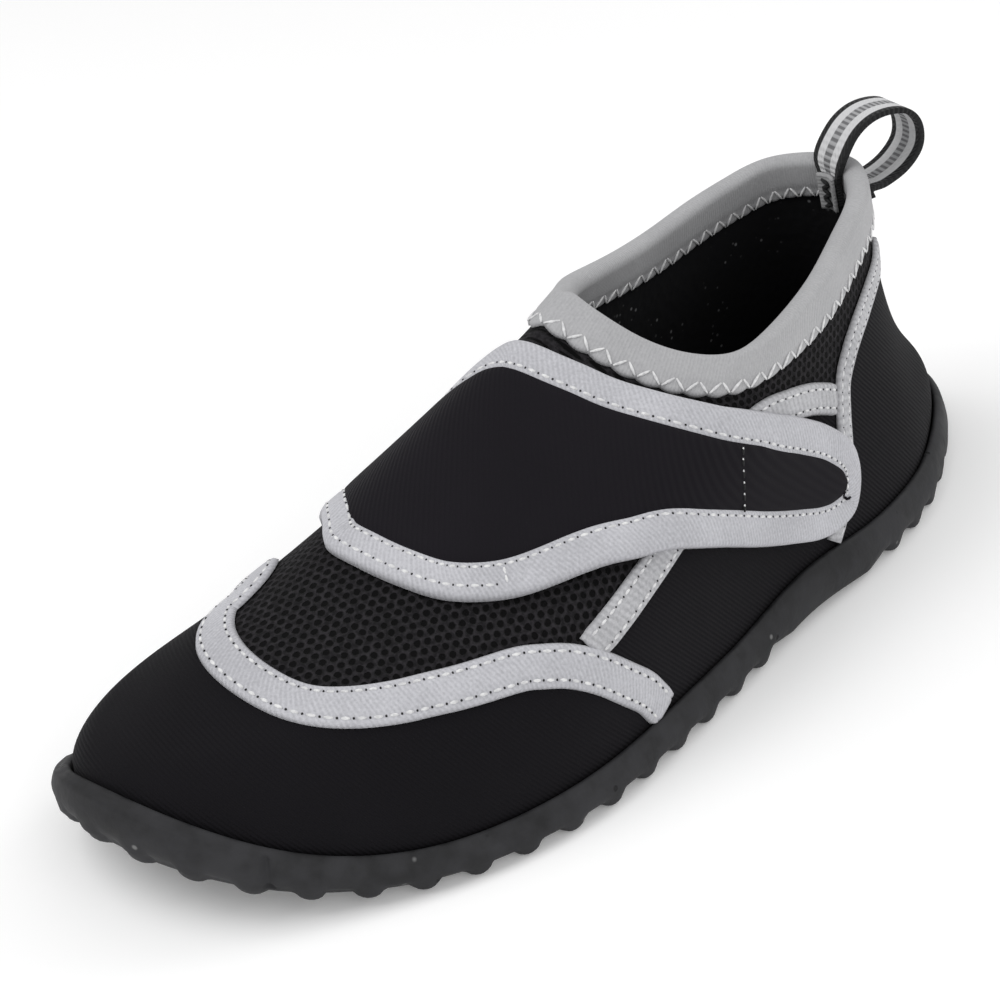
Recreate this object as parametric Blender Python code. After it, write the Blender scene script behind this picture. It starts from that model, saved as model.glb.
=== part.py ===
"""Water shoe for a left foot, modelled empty and standing on its sole.

Metres, +Z up, toe towards -Y, heel towards +Y and the outer (lateral) side towards +X.
The origin lies on the ground under the middle of the shoe.

Every piece follows one surface, the last. It is swept by ribs that run from the sole's
lip up to the collar. A place on it is given by two shares: around, which is 0 at the
toe, 0.5 at the heel and grows along the lateral side, and up, which is 0 at the lip
and 1 at the collar.
"""

from collections import namedtuple
from math import ceil, cos, pi, radians, sin

import bmesh
import bpy
import numpy as np

for old in list(bpy.data.objects):
    bpy.data.objects.remove(old, do_unlink=True)

# Driving dimensions: the last
LENGTH = 0.275
BALL_WIDTH = 0.1034
INSTEP_HEIGHT = 0.0830
HEEL_HEIGHT = 0.0790
TOE_SPRING = 0.0150
ARCH_RISE = 0.0025

# Driving dimensions: the sole
LIP_HEIGHT = 0.0120
SOLE_WALL = 0.0041
SOLE_FLOOR = 0.0045
SOLE_TAPER = 0.0018
NUB_PITCH = 0.0120
NUB_WIDTH = 0.0036
NUB_SLOPE = 0.0016
NUB_HEIGHT = 0.0022
NUB_REACH = 0.0070
NUB_BULGE = 0.0012
BUMPER_STEP = 0.0008
BUMPER_GROOVE = 0.0010

# Driving dimensions: the soft pieces
UPPER_WALL = 0.0024
INSOLE_THICKNESS = 0.0030
TAPE_WIDTH = 0.0095
HEEL_TAPE_WIDTH = 0.0060
TAPE_THICKNESS = 0.0010
BINDING_DEPTH = 0.0090
BINDING_THICKNESS = 0.0012
STRAP_THICKNESS = 0.0020
STRAP_TAPE_WIDTH = 0.0090
STRAP_TAPE_THICKNESS = 0.0023
LOOP_WIDTH = 0.0120
LOOP_PLACE = 0.485
LOOP_THICKNESS = 0.0014
LOOP_RISE = 0.0130
LOOP_REACH = 0.0180
PATCH_THICKNESS = 0.0008
CLEARANCE = 0.0004

# Shares of the length: where the toe starts to lift, where the arch runs, where the
# nubs stop and start again, and where the toe bumper ends
SPRING_END = 0.255
ARCH_FROM = 0.50
ARCH_TO = 0.76
NUBS_STOP = 0.56
NUBS_START = 0.74
BUMPER_END = 0.060

# The upward share where tapes and strap stop, just above the sole's lip
TAPE_FOOT = 0.02

UPPER_COLUMNS = 72
TAPE_PITCH = 0.005
STRAP_ROWS = 30
STRAP_ACROSS = 8
INSOLE_COLUMNS = 48
MOVE_STEPS = 4
FINE = 1e-4

# The sole's outline at each station, toe first: how far along the length it lies, how far
# the edge lies across on either side in ball widths, and the lip's height in lip heights.
SoleRow = namedtuple("SoleRow", "along lateral medial lip_lateral lip_medial")
SOLE_ROWS = (
    SoleRow(0.000, -0.100, -0.100, 1.20, 1.20),
    SoleRow(0.014, 0.068, -0.255, 1.20, 0.98),
    SoleRow(0.055, 0.222, -0.380, 1.00, 0.78),
    SoleRow(0.113, 0.342, -0.455, 0.80, 0.72),
    SoleRow(0.196, 0.449, -0.493, 0.72, 0.72),
    SoleRow(0.302, 0.502, -0.498, 0.74, 0.76),
    SoleRow(0.404, 0.483, -0.455, 0.78, 0.80),
    SoleRow(0.516, 0.436, -0.388, 0.83, 0.86),
    SoleRow(0.615, 0.392, -0.362, 0.86, 0.88),
    SoleRow(0.713, 0.366, -0.380, 0.90, 0.90),
    SoleRow(0.818, 0.311, -0.397, 0.93, 0.93),
    SoleRow(0.898, 0.212, -0.357, 0.97, 0.97),
    SoleRow(0.964, 0.086, -0.252, 1.00, 1.00),
    SoleRow(1.000, -0.085, -0.085, 1.00, 1.00),
)

# The collar's edge at the same stations: along the length, across in ball widths, how
# much of its height follows the heel and not the instep, and its height in that measure.
CollarRow = namedtuple("CollarRow", "along lateral medial heel_part high_lateral high_medial")
COLLAR_ROWS = (
    CollarRow(0.517, -0.045, -0.045, 0.00, 0.991, 0.991),
    CollarRow(0.517, -0.018, -0.062, 0.00, 0.981, 0.985),
    CollarRow(0.520, 0.017, -0.080, 0.00, 0.957, 0.977),
    CollarRow(0.526, 0.060, -0.100, 0.00, 0.925, 0.968),
    CollarRow(0.536, 0.110, -0.126, 0.00, 0.886, 0.952),
    CollarRow(0.553, 0.173, -0.162, 0.00, 0.847, 0.929),
    CollarRow(0.582, 0.228, -0.215, 0.10, 0.821, 0.902),
    CollarRow(0.622, 0.246, -0.253, 0.25, 0.820, 0.878),
    CollarRow(0.673, 0.234, -0.286, 0.50, 0.850, 0.862),
    CollarRow(0.731, 0.197, -0.313, 0.75, 0.893, 0.864),
    CollarRow(0.789, 0.140, -0.329, 0.90, 0.940, 0.883),
    CollarRow(0.843, 0.074, -0.325, 1.00, 0.972, 0.906),
    CollarRow(0.884, -0.020, -0.274, 1.00, 0.980, 0.938),
    CollarRow(0.900, -0.124, -0.124, 1.00, 0.974, 0.974),
)

# How each rib climbs from the lip: the height of its rounded shoulder in instep heights,
# the share of the way in that the shoulder takes, and the power of the slope above it.
RibRow = namedtuple("RibRow", "rise_lateral rise_medial reach_lateral reach_medial "
                              "power_lateral power_medial")
RIB_ROWS = (
    RibRow(0.045, 0.045, 0.06, 0.06, 1.30, 1.30),
    RibRow(0.065, 0.085, 0.09, 0.06, 1.30, 1.32),
    RibRow(0.130, 0.150, 0.18, 0.12, 1.22, 1.40),
    RibRow(0.180, 0.172, 0.26, 0.20, 1.12, 1.42),
    RibRow(0.210, 0.190, 0.34, 0.30, 1.07, 1.46),
    RibRow(0.250, 0.215, 0.40, 0.40, 1.06, 1.52),
    RibRow(0.290, 0.250, 0.46, 0.50, 1.10, 1.56),
    RibRow(0.320, 0.290, 0.51, 0.54, 1.20, 1.58),
    RibRow(0.330, 0.330, 0.54, 0.54, 1.40, 1.58),
    RibRow(0.310, 0.310, 0.54, 0.54, 1.65, 1.65),
    RibRow(0.260, 0.260, 0.53, 0.53, 2.00, 2.00),
    RibRow(0.200, 0.200, 0.52, 0.52, 2.40, 2.40),
    RibRow(0.170, 0.170, 0.50, 0.50, 2.70, 2.70),
    RibRow(0.160, 0.160, 0.50, 0.50, 2.80, 2.80),
)


def around_ring(rows, lateral, medial):
    """One value per rib, all the way round: lateral side out, medial side back."""
    out = [getattr(row, lateral) for row in rows]
    back = [getattr(row, medial) for row in rows[-2:0:-1]]
    return np.array(out + back, dtype=float)


def closed_spline(values):
    """A closed cubic spline through evenly spaced values, read at shares from 0 to 1."""
    count = len(values)
    link = 4 * np.eye(count) + np.roll(np.eye(count), 1, 0) + np.roll(np.eye(count), -1, 0)
    pull = 6 * (np.roll(values, -1, 0) - 2 * values + np.roll(values, 1, 0))
    curve = np.linalg.solve(link, pull)

    def read(share):
        place = (np.asarray(share, dtype=float) % 1.0) * count
        low = np.floor(place).astype(int) % count
        high = (low + 1) % count
        b = place - np.floor(place)
        a = 1 - b
        bend = (a ** 3 - a) * curve[low] + (b ** 3 - b) * curve[high]
        return a * values[low] + b * values[high] + bend / 6

    return read


def spline_of(rows, lateral, medial=None, size=1.0):
    return closed_spline(size * around_ring(rows, lateral, medial or lateral))


SOLE_ALONG = spline_of(SOLE_ROWS, "along", size=LENGTH)
SOLE_ACROSS = spline_of(SOLE_ROWS, "lateral", "medial", BALL_WIDTH)
SOLE_LIP = spline_of(SOLE_ROWS, "lip_lateral", "lip_medial", LIP_HEIGHT)
COLLAR_ALONG = spline_of(COLLAR_ROWS, "along", size=LENGTH)
COLLAR_ACROSS = spline_of(COLLAR_ROWS, "lateral", "medial", BALL_WIDTH)
COLLAR_HEEL_PART = spline_of(COLLAR_ROWS, "heel_part")
COLLAR_SHARE = spline_of(COLLAR_ROWS, "high_lateral", "high_medial")
RIB_RISE = spline_of(RIB_ROWS, "rise_lateral", "rise_medial", INSTEP_HEIGHT)
RIB_REACH = spline_of(RIB_ROWS, "reach_lateral", "reach_medial")
RIB_POWER = spline_of(RIB_ROWS, "power_lateral", "power_medial")


def collar_high(around):
    """The collar's height, measured against the instep in front and the heel behind."""
    heel_part = COLLAR_HEEL_PART(around)
    return COLLAR_SHARE(around) * (INSTEP_HEIGHT + (HEEL_HEIGHT - INSTEP_HEIGHT) * heel_part)


def ground_lift(y):
    """Height of the sole's underside: toe spring in front, a low arch at the waist."""
    along = np.clip(y / LENGTH + 0.5, 0, 1)
    spring = TOE_SPRING * np.clip(1 - along / SPRING_END, 0, None) ** 3
    arch = np.clip((along - ARCH_FROM) / (ARCH_TO - ARCH_FROM), 0, 1)
    return spring + ARCH_RISE * np.sin(pi * arch) ** 2


def sole_plan(around, inset=0.0):
    """The sole's outline seen from above, moved inwards by inset."""
    step = FINE
    point = np.stack([SOLE_ACROSS(around), SOLE_ALONG(around) - LENGTH / 2], -1)
    ahead = np.stack([SOLE_ACROSS(around + step), SOLE_ALONG(around + step)], -1)
    behind = np.stack([SOLE_ACROSS(around - step), SOLE_ALONG(around - step)], -1)
    run = ahead - behind
    run /= np.linalg.norm(run, axis=-1, keepdims=True)
    inward = np.stack([-run[..., 1], run[..., 0]], -1)
    return point + inward * np.asarray(inset)[..., None]


def last_point(around, up):
    """A point of the last's surface."""
    around, up = np.broadcast_arrays(np.asarray(around, float), np.asarray(up, float))
    foot = sole_plan(around, SOLE_WALL + CLEARANCE)
    top = np.stack([COLLAR_ACROSS(around), COLLAR_ALONG(around) - LENGTH / 2], -1)
    base = SOLE_LIP(around) + ground_lift(foot[..., 1])
    rise = RIB_RISE(around)
    reach = RIB_REACH(around)
    shoulder = reach * pi / 2
    shoulder = shoulder / (shoulder + 1 - reach)
    turn = np.clip(up / shoulder, 0, 1) * pi / 2
    slope = np.clip((up - shoulder) / (1 - shoulder), 0, 1)
    inward = reach * (1 - np.cos(turn)) + (1 - reach) * slope
    plan = foot + (top - foot) * inward[..., None]
    climb = collar_high(around) - base - rise
    high = base + rise * np.sin(turn) + climb * inward ** RIB_POWER(around)
    return np.concatenate([plan, high[..., None]], -1)


def last_normal(around, up):
    """The outward normal of the last's surface."""
    step = FINE
    up = np.clip(up, step, 1 - step)
    along = last_point(around + step, up) - last_point(around - step, up)
    climb = last_point(around, up + step) - last_point(around, up - step)
    normal = np.cross(along, climb)
    return normal / np.linalg.norm(normal, axis=-1, keepdims=True)


def off_last(around, up, distance):
    """A point at a distance outside the last, or inside it where negative."""
    distance = np.asarray(distance, float)
    return last_point(around, up) + last_normal(around, up) * distance[..., None]


def step_on_last(around, up, shift):
    """The shares that lie a small shift away, along the surface."""
    middle = np.clip(up, FINE, 1 - FINE)
    along = (last_point(around + FINE, middle) - last_point(around - FINE, middle)) / (2 * FINE)
    climb = (last_point(around, middle + FINE) - last_point(around, middle - FINE)) / (2 * FINE)
    aa = (along * along).sum(-1)
    cc = (climb * climb).sum(-1)
    ac = (along * climb).sum(-1)
    sa = (shift * along).sum(-1)
    sc = (shift * climb).sum(-1)
    span = aa * cc - ac * ac
    return around + (sa * cc - sc * ac) / span, up + (sc * aa - sa * ac) / span


def move_on_last(around, up, shift):
    """The shares that lie a shift away, walked in a few small steps."""
    for _ in range(MOVE_STEPS):
        around, up = step_on_last(around, up, shift / MOVE_STEPS)
    return around, up


def below_collar(around, depth):
    """The upward share that lies a depth below the collar, measured down each rib."""
    ladder = np.linspace(1, 0, 101)
    shares = []
    for place in np.atleast_1d(around):
        rib = last_point(np.full(ladder.shape, place), ladder)
        down = np.concatenate([[0], np.cumsum(np.linalg.norm(np.diff(rib, axis=0), axis=1))])
        shares.append(np.interp(depth, down, ladder))
    return np.array(shares)


def smooth_path(rows, pitch):
    """Shares along a soft curve through rows of (around, up), about a pitch apart."""
    rows = np.array(rows, dtype=float)
    ends = np.vstack([2 * rows[0] - rows[1], rows, 2 * rows[-1] - rows[-2]])
    curve = []
    for a, b, c, d in zip(ends[:-3], ends[1:-2], ends[2:-1], ends[3:]):
        t = np.linspace(0, 1, 12, endpoint=False)[:, None]
        curve.append(0.5 * (2 * b + (c - a) * t + (2 * a - 5 * b + 4 * c - d) * t ** 2
                            + (3 * b - a - 3 * c + d) * t ** 3))
    curve = np.vstack(curve + [rows[-1:]])
    points = last_point(curve[:, 0], curve[:, 1])
    run = np.concatenate([[0], np.cumsum(np.linalg.norm(np.diff(points, axis=0), axis=1))])
    stops = np.linspace(0, run[-1], max(2, ceil(run[-1] / pitch) + 1))
    return np.stack([np.interp(stops, run, curve[:, 0]), np.interp(stops, run, curve[:, 1])], -1)


def sideways(path):
    """Unit vectors that lie in the surface and point to the left of a path on it."""
    points = last_point(path[:, 0], path[:, 1])
    run = np.gradient(points, axis=0)
    side = np.cross(last_normal(path[:, 0], path[:, 1]), run)
    return side / np.linalg.norm(side, axis=1, keepdims=True)


def material(name, colour, roughness):
    """A Principled material of one plain colour."""
    made = bpy.data.materials.new(name)
    made.use_nodes = True
    shader = made.node_tree.nodes["Principled BSDF"]
    shader.inputs["Base Color"].default_value = (*colour, 1)
    shader.inputs["Roughness"].default_value = roughness
    shader.inputs["Metallic"].default_value = 0.0
    made.diffuse_color = (*colour, 1)
    return made


def finish(name, bm, skin, smooth_angle=35):
    """Turns a bmesh into a named object with its faces outwards."""
    bmesh.ops.recalc_face_normals(bm, faces=bm.faces)
    mesh = bpy.data.meshes.new(name)
    bm.to_mesh(mesh)
    bm.free()
    mesh.materials.append(skin)
    mesh.shade_smooth()
    mesh.set_sharp_from_angle(angle=radians(smooth_angle))
    piece = bpy.data.objects.new(name, mesh)
    bpy.context.collection.objects.link(piece)
    return piece


def loft(name, rings, skin, joined=False):
    """A body through closed rings of points, with its ends capped or joined together."""
    bm = bmesh.new()
    lines = [[bm.verts.new(point) for point in ring] for ring in rings]
    count = len(lines[0])
    pairs = list(zip(lines, lines[1:] + lines[:1])) if joined else list(zip(lines, lines[1:]))
    for near, far in pairs:
        for k in range(count):
            after = (k + 1) % count
            bm.faces.new((near[k], near[after], far[after], far[k]))
    for line in ([] if joined else [lines[0], lines[-1]]):
        for k in range(count // 2 - 1):
            bm.faces.new((line[k], line[k + 1], line[count - 2 - k], line[count - 1 - k]))
    return finish(name, bm, skin)


def across_strips(bm, ring):
    """Fills a ring of vertices with strips that run straight across the shoe."""
    count = len(ring)
    for k in range(count // 2):
        corners = [ring[k], ring[k + 1], ring[(count - k - 1) % count], ring[(count - k) % count]]
        bm.faces.new(list(dict.fromkeys(corners)))


def plate(name, levels, skin):
    """A body of stacked rings that lie round the shoe, closed by strips at both ends."""
    bm = bmesh.new()
    rings = [[bm.verts.new(point) for point in level] for level in levels]
    count = len(rings[0])
    for low, high in zip(rings, rings[1:]):
        for k in range(count):
            after = (k + 1) % count
            bm.faces.new((low[k], low[after], high[after], high[k]))
    across_strips(bm, rings[0])
    across_strips(bm, rings[-1])
    return finish(name, bm, skin)


def mirrored_ring(half):
    """Shares all the way round, from shares between 0 and 0.5 on the lateral side."""
    return np.concatenate([half, 1 - half[-2:0:-1]])


def level(plan, high):
    return np.column_stack([plan, high])


def outsole():
    """A rubber tray with a turned-up wall, a toe bumper and nubs round its edge."""
    fine = np.linspace(0, 0.5, 2001)
    edge = sole_plan(fine)
    run = np.concatenate([[0], np.cumsum(np.linalg.norm(np.diff(edge, axis=0), axis=1))])
    share = SOLE_ALONG(fine) / LENGTH
    stop = np.interp(NUBS_STOP, share, run)
    start = np.interp(NUBS_START, share, run)
    bumper = np.interp(BUMPER_END, share, run)
    half_nub = NUB_WIDTH / 2
    front = np.arange(0, stop, NUB_PITCH)
    back = run[-1] - np.arange(0, run[-1] - start, NUB_PITCH)
    centres = np.concatenate([front, back[::-1]])
    steps = (-half_nub - NUB_SLOPE, -half_nub, half_nub, half_nub + NUB_SLOPE)
    stops = [centre + step for centre in centres for step in steps]
    waist = np.linspace(front[-1] + NUB_PITCH, back[-1] - NUB_PITCH, 5)
    groove = [bumper - BUMPER_GROOVE, bumper, bumper + BUMPER_GROOVE]
    stops = np.concatenate([stops, waist, [0, run[-1]], groove])
    stops = np.unique(np.round(np.clip(stops, 0, run[-1]), 6))
    stops = stops[np.concatenate([[True], np.diff(stops) > FINE])]
    stops[-1] = run[-1]

    # 1 on a nub, 0 between nubs and along the waist
    away = np.abs(stops[:, None] - centres[None, :]).min(1)
    nub = np.clip(1 - (away - half_nub) / NUB_SLOPE, 0, 1)
    step_out = np.where(stops < bumper - BUMPER_GROOVE / 2, BUMPER_STEP, 0.0)
    step_out = np.where(np.abs(stops - bumper) < BUMPER_GROOVE / 2, -BUMPER_STEP / 2, step_out)

    around = mirrored_ring(np.interp(stops, run, fine))
    nub = np.concatenate([nub, nub[-2:0:-1]])
    step_out = np.concatenate([step_out, step_out[-2:0:-1]])
    along = SOLE_ALONG(around) / LENGTH
    waist_part = np.clip(np.minimum(along - NUBS_STOP, NUBS_START - along) / 0.03, 0, 1)
    gap = (1 - nub) * (1 - waist_part)

    def ring(inset, high):
        plan = sole_plan(around, inset)
        return level(plan, ground_lift(plan[:, 1]) + high)

    lip = SOLE_LIP(around)
    return plate("outsole", [
        ring(NUB_REACH, 0.0),
        ring(SOLE_TAPER + NUB_BULGE * gap - step_out, NUB_HEIGHT * gap),
        ring(NUB_BULGE * (1 - nub) * 0.5 - step_out, NUB_HEIGHT * 1.6),
        ring(0.0003 - step_out, lip * 0.50),
        ring(0.0015 - step_out * 0.6, lip - 0.0018),
        ring(SOLE_WALL - 0.0010, lip),
        ring(SOLE_WALL, lip - 0.0006),
        ring(SOLE_WALL, SOLE_FLOOR),
    ], material("sole_rubber", (0.040, 0.040, 0.044), 0.65))


def insole():
    """A foam sheet that lies inside the upper on the tray's floor."""
    around = mirrored_ring(np.linspace(0, 0.5, INSOLE_COLUMNS // 2 + 1))
    plan = sole_plan(around, SOLE_WALL + UPPER_WALL + 2.5 * CLEARANCE)
    floor = ground_lift(plan[:, 1]) + SOLE_FLOOR + CLEARANCE
    return plate("insole", [level(plan, floor), level(plan, floor + INSOLE_THICKNESS)],
                 material("insole_foam", (0.020, 0.020, 0.022), 0.9))


def upper():
    """One hollow shell with a real wall, open at the collar and underneath."""
    outer = (0, 0.12, 0.24, 0.36, 0.45, 0.54, 0.63, 0.72, 0.80, 0.87, 0.94, 1)
    inner = (1, 0.92, 0.80, 0.66, 0.54, 0.42, 0.24, 0)
    rings = []
    for around in np.linspace(0, 1, UPPER_COLUMNS, endpoint=False):
        outside = last_point(np.full(len(outer), around), np.array(outer))
        inside = off_last(np.full(len(inner), around), np.array(inner),
                          np.full(len(inner), -UPPER_WALL))
        foot = outside[0].copy()
        foot[2] = ground_lift(foot[1]) + SOLE_FLOOR + CLEARANCE
        heel = inside[-1].copy()
        heel[2] = foot[2]
        rings.append(np.vstack([foot, outside, inside, heel]))
    return loft("upper", rings, material("neoprene", (0.012, 0.012, 0.014), 0.85), joined=True)


def collar_binding():
    """A folded tape that caps the collar's edge inside and out."""
    rings = []
    skin = CLEARANCE + BINDING_THICKNESS
    for around in np.linspace(0, 1, UPPER_COLUMNS, endpoint=False):
        low = below_collar(around, BINDING_DEPTH)[0]
        middle = below_collar(around, BINDING_DEPTH / 2)[0]
        top = last_point(around, 1.0)
        rise = top - last_point(around, 1 - FINE)
        rise /= np.linalg.norm(rise)
        inside = last_normal(around, 1.0) * -(UPPER_WALL / 2)
        legs = [(low, skin), (middle, skin), (1, skin)]
        back = [(1, -UPPER_WALL - skin), (middle, -UPPER_WALL - skin), (low, -UPPER_WALL - skin),
                (low, -UPPER_WALL - CLEARANCE), (middle, -UPPER_WALL - CLEARANCE)]
        crown = top + inside + rise * (skin + CLEARANCE)
        under_in = off_last(around, 1.0, -UPPER_WALL - CLEARANCE) + rise * CLEARANCE
        under_out = off_last(around, 1.0, CLEARANCE) + rise * CLEARANCE
        ring = [off_last(around, share, out) for share, out in legs] + [crown]
        ring += [off_last(around, share, out) for share, out in back] + [under_in, under_out]
        ring += [off_last(around, share, CLEARANCE) for share in (middle, low)]
        rings.append(np.array(ring))
    return loft("collar_binding", rings, material("binding", (0.42, 0.42, 0.43), 0.8), joined=True)


TAPE_GREY = (0.46, 0.46, 0.49)


def strip(name, path, sides, lift, thickness, skin):
    """A flat tape over the last. Its path is points of (around, up) shares, and its two
    edges lie at the given distances to the left of the path."""
    side = sideways(path)
    lifts = lift(path[:, 0])
    edges = []
    for shift in np.linspace(*sides, 3):
        around, up = move_on_last(path[:, 0], path[:, 1], side * shift)
        edges.append((around, np.clip(up, TAPE_FOOT, 1)))
    low = [off_last(around, up, lifts) for around, up in edges]
    high = [off_last(around, up, lifts + thickness) for around, up in edges]
    rings = [np.array([low[0][k], low[1][k], low[2][k], high[2][k], high[1][k], high[0][k]])
             for k in range(len(path))]
    return loft(name, rings, skin)


def on_upper(around):
    """Height of a tape's underside above the last."""
    return np.full(np.shape(around), CLEARANCE)


def over_tapes(around):
    """Height of the strap's underside: close to the vamp, then over the side tapes."""
    climb = np.clip((around - 0.13) / 0.07, 0, 1)
    return 1.6 * CLEARANCE + TAPE_THICKNESS * climb * climb * (3 - 2 * climb)


# Paths over the last, as shares (around, up); the medial side has around below 0.
VAMP_PATH = ((0.232, 0.02), (0.230, 0.052), (0.222, 0.133), (0.204, 0.233), (0.186, 0.300),
             (0.171, 0.333), (0.156, 0.345), (0.130, 0.323), (0.111, 0.300), (0.089, 0.280),
             (0.063, 0.265), (0.033, 0.265), (-0.005, 0.280), (-0.034, 0.297),
             (-0.056, 0.325), (-0.059, 0.355), (-0.066, 0.390), (-0.080, 0.408),
             (-0.096, 0.404), (-0.114, 0.382), (-0.134, 0.345), (-0.153, 0.297),
             (-0.169, 0.240), (-0.182, 0.172), (-0.191, 0.100), (-0.195, 0.02))
SIDE_PATH = ((0.198, 0.352), (0.204, 0.376), (0.212, 0.412), (0.222, 0.460), (0.238, 0.550),
             (0.257, 0.645), (0.272, 0.693), (0.287, 0.688), (0.304, 0.645), (0.324, 0.598))
HEEL_PATH = ((0.331, 0.02), (0.335, 0.09), (0.338, 0.165), (0.341, 0.307), (0.343, 0.485),
             (0.347, 0.620), (0.356, 0.708), (0.367, 0.763), (0.382, 0.807), (0.400, 0.843),
             (0.420, 0.868))
# The strap's edge: up the medial side in front, round its lateral end and back.
STRAP_EDGE = ((-0.262, 0.042), (-0.243, 0.172), (-0.214, 0.320), (-0.178, 0.420),
              (-0.136, 0.496), (-0.090, 0.532), (-0.045, 0.518), (-0.010, 0.492),
              (0.032, 0.488), (0.072, 0.487), (0.109, 0.480), (0.141, 0.487), (0.178, 0.503),
              (0.204, 0.486), (0.229, 0.453), (0.265, 0.333), (0.302, 0.158), (0.316, 0.098),
              (0.327, 0.080), (0.338, 0.105), (0.343, 0.188), (0.344, 0.300), (0.340, 0.395),
              (0.328, 0.482), (0.311, 0.566), (0.271, 0.762), (0.231, 0.864), (0.183, 0.906),
              (0.125, 0.920), (0.060, 0.918), (0.005, 0.910), (-0.045, 0.900), (-0.090, 0.868),
              (-0.140, 0.810), (-0.195, 0.738), (-0.238, 0.650), (-0.270, 0.510),
              (-0.292, 0.287), (-0.305, 0.046))

# The rows of that edge where the strap's end begins and stops
STRAP_CORNERS = (17, 22)


def tapes():
    """The sewn-on tapes of the vamp, the side and both sides of the heel."""
    skin = material("tape", TAPE_GREY, 0.8)
    half = TAPE_WIDTH / 2
    narrow = HEEL_TAPE_WIDTH / 2
    medial = [(-around, up) for around, up in HEEL_PATH]
    places = (("vamp_tape", VAMP_PATH, half), ("side_tape", SIDE_PATH, half * 0.8),
              ("heel_tape_lateral", HEEL_PATH, narrow), ("heel_tape_medial", medial, narrow))
    for name, rows, reach in places:
        path = smooth_path(rows, TAPE_PITCH)
        strip(name, path, (-reach, reach), on_upper, TAPE_THICKNESS, skin)


def strap_path():
    """The strap's edge with as many points in front as behind, and a few round its end."""
    path = smooth_path(STRAP_EDGE, STRAP_TAPE_WIDTH / 12)
    corners = [np.abs(path - STRAP_EDGE[k]).sum(1).argmin() for k in STRAP_CORNERS]
    points = last_point(path[:, 0], path[:, 1])
    run = np.concatenate([[0], np.cumsum(np.linalg.norm(np.diff(points, axis=0), axis=1))])
    low, high = run[corners]
    stops = np.concatenate([np.linspace(0, low, STRAP_ROWS + 1),
                            np.linspace(low, high, STRAP_ACROSS + 1)[1:-1],
                            np.linspace(high, run[-1], STRAP_ROWS + 1)])
    return np.stack([np.interp(stops, run, path[:, 0]), np.interp(stops, run, path[:, 1])], -1)


def strap():
    """The instep strap: a neoprene panel that narrows to a round end, in its edge tape."""
    path = strap_path()
    strip("strap_binding", path, (0, STRAP_TAPE_WIDTH), over_tapes, STRAP_TAPE_THICKNESS,
          material("strap_tape", TAPE_GREY, 0.8))
    shift = sideways(path) * (STRAP_TAPE_WIDTH + CLEARANCE)
    inner = np.stack(move_on_last(path[:, 0], path[:, 1], shift), -1)
    front = inner[:STRAP_ROWS + 1]
    rear = inner[:-STRAP_ROWS - 2:-1]
    across = np.linspace(0, 1, STRAP_ACROSS + 1)[:, None]
    lines = [a + (b - a) * across for a, b in zip(front, rear)]
    lines[-1] = inner[STRAP_ROWS:STRAP_ROWS + STRAP_ACROSS + 1]
    low_gap = (STRAP_TAPE_THICKNESS - STRAP_THICKNESS) / 2
    rings = []
    for line in lines:
        up = np.clip(line[:, 1], TAPE_FOOT, 1)
        lift = over_tapes(line[:, 0]) + low_gap
        low = off_last(line[:, 0], up, lift)
        high = off_last(line[:, 0], up, lift + STRAP_THICKNESS)
        rings.append(np.vstack([low, high[::-1]]))
    loft("strap", rings, material("strap_neoprene", (0.014, 0.014, 0.016), 0.8))


# The free part of the pull loop, in shares of how far it reaches back and rises.
LoopRow = namedtuple("LoopRow", "back high")
LOOP_ROWS = (
    LoopRow(-0.32, 0.18), LoopRow(-0.12, 0.67), LoopRow(0.14, 0.93), LoopRow(0.45, 1.00),
    LoopRow(0.76, 0.90), LoopRow(0.95, 0.58), LoopRow(0.96, 0.14), LoopRow(0.74, -0.22),
    LoopRow(0.40, -0.43),
)


def band(name, lines, thickness, skin):
    """A strap of webbing through rows of points that lie across it."""
    lines = np.array(lines)
    run = np.gradient(lines, axis=0)
    across = np.gradient(lines, axis=1)
    out = np.cross(across, run)
    out /= np.linalg.norm(out, axis=-1, keepdims=True)
    low = lines - out * (thickness / 2)
    high = lines + out * (thickness / 2)
    return loft(name, [np.vstack([a, b[::-1]]) for a, b in zip(low, high)], skin)


def heel_line(depth, distance):
    """Points across the middle of the heel, below the collar and off the last."""
    up = below_collar(LOOP_PLACE, depth)[0]
    middle = last_point(LOOP_PLACE, up)
    across = last_point(LOOP_PLACE - FINE, up) - last_point(LOOP_PLACE + FINE, up)
    across /= np.linalg.norm(across)
    spread = np.linspace(-0.5, 0.5, 5) * LOOP_WIDTH
    start = (np.full(5, LOOP_PLACE), np.full(5, up))
    around, ups = move_on_last(*start, across * spread[:, None])
    return off_last(around, np.clip(ups, 0, 1), np.full(5, distance)), middle, across


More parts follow.
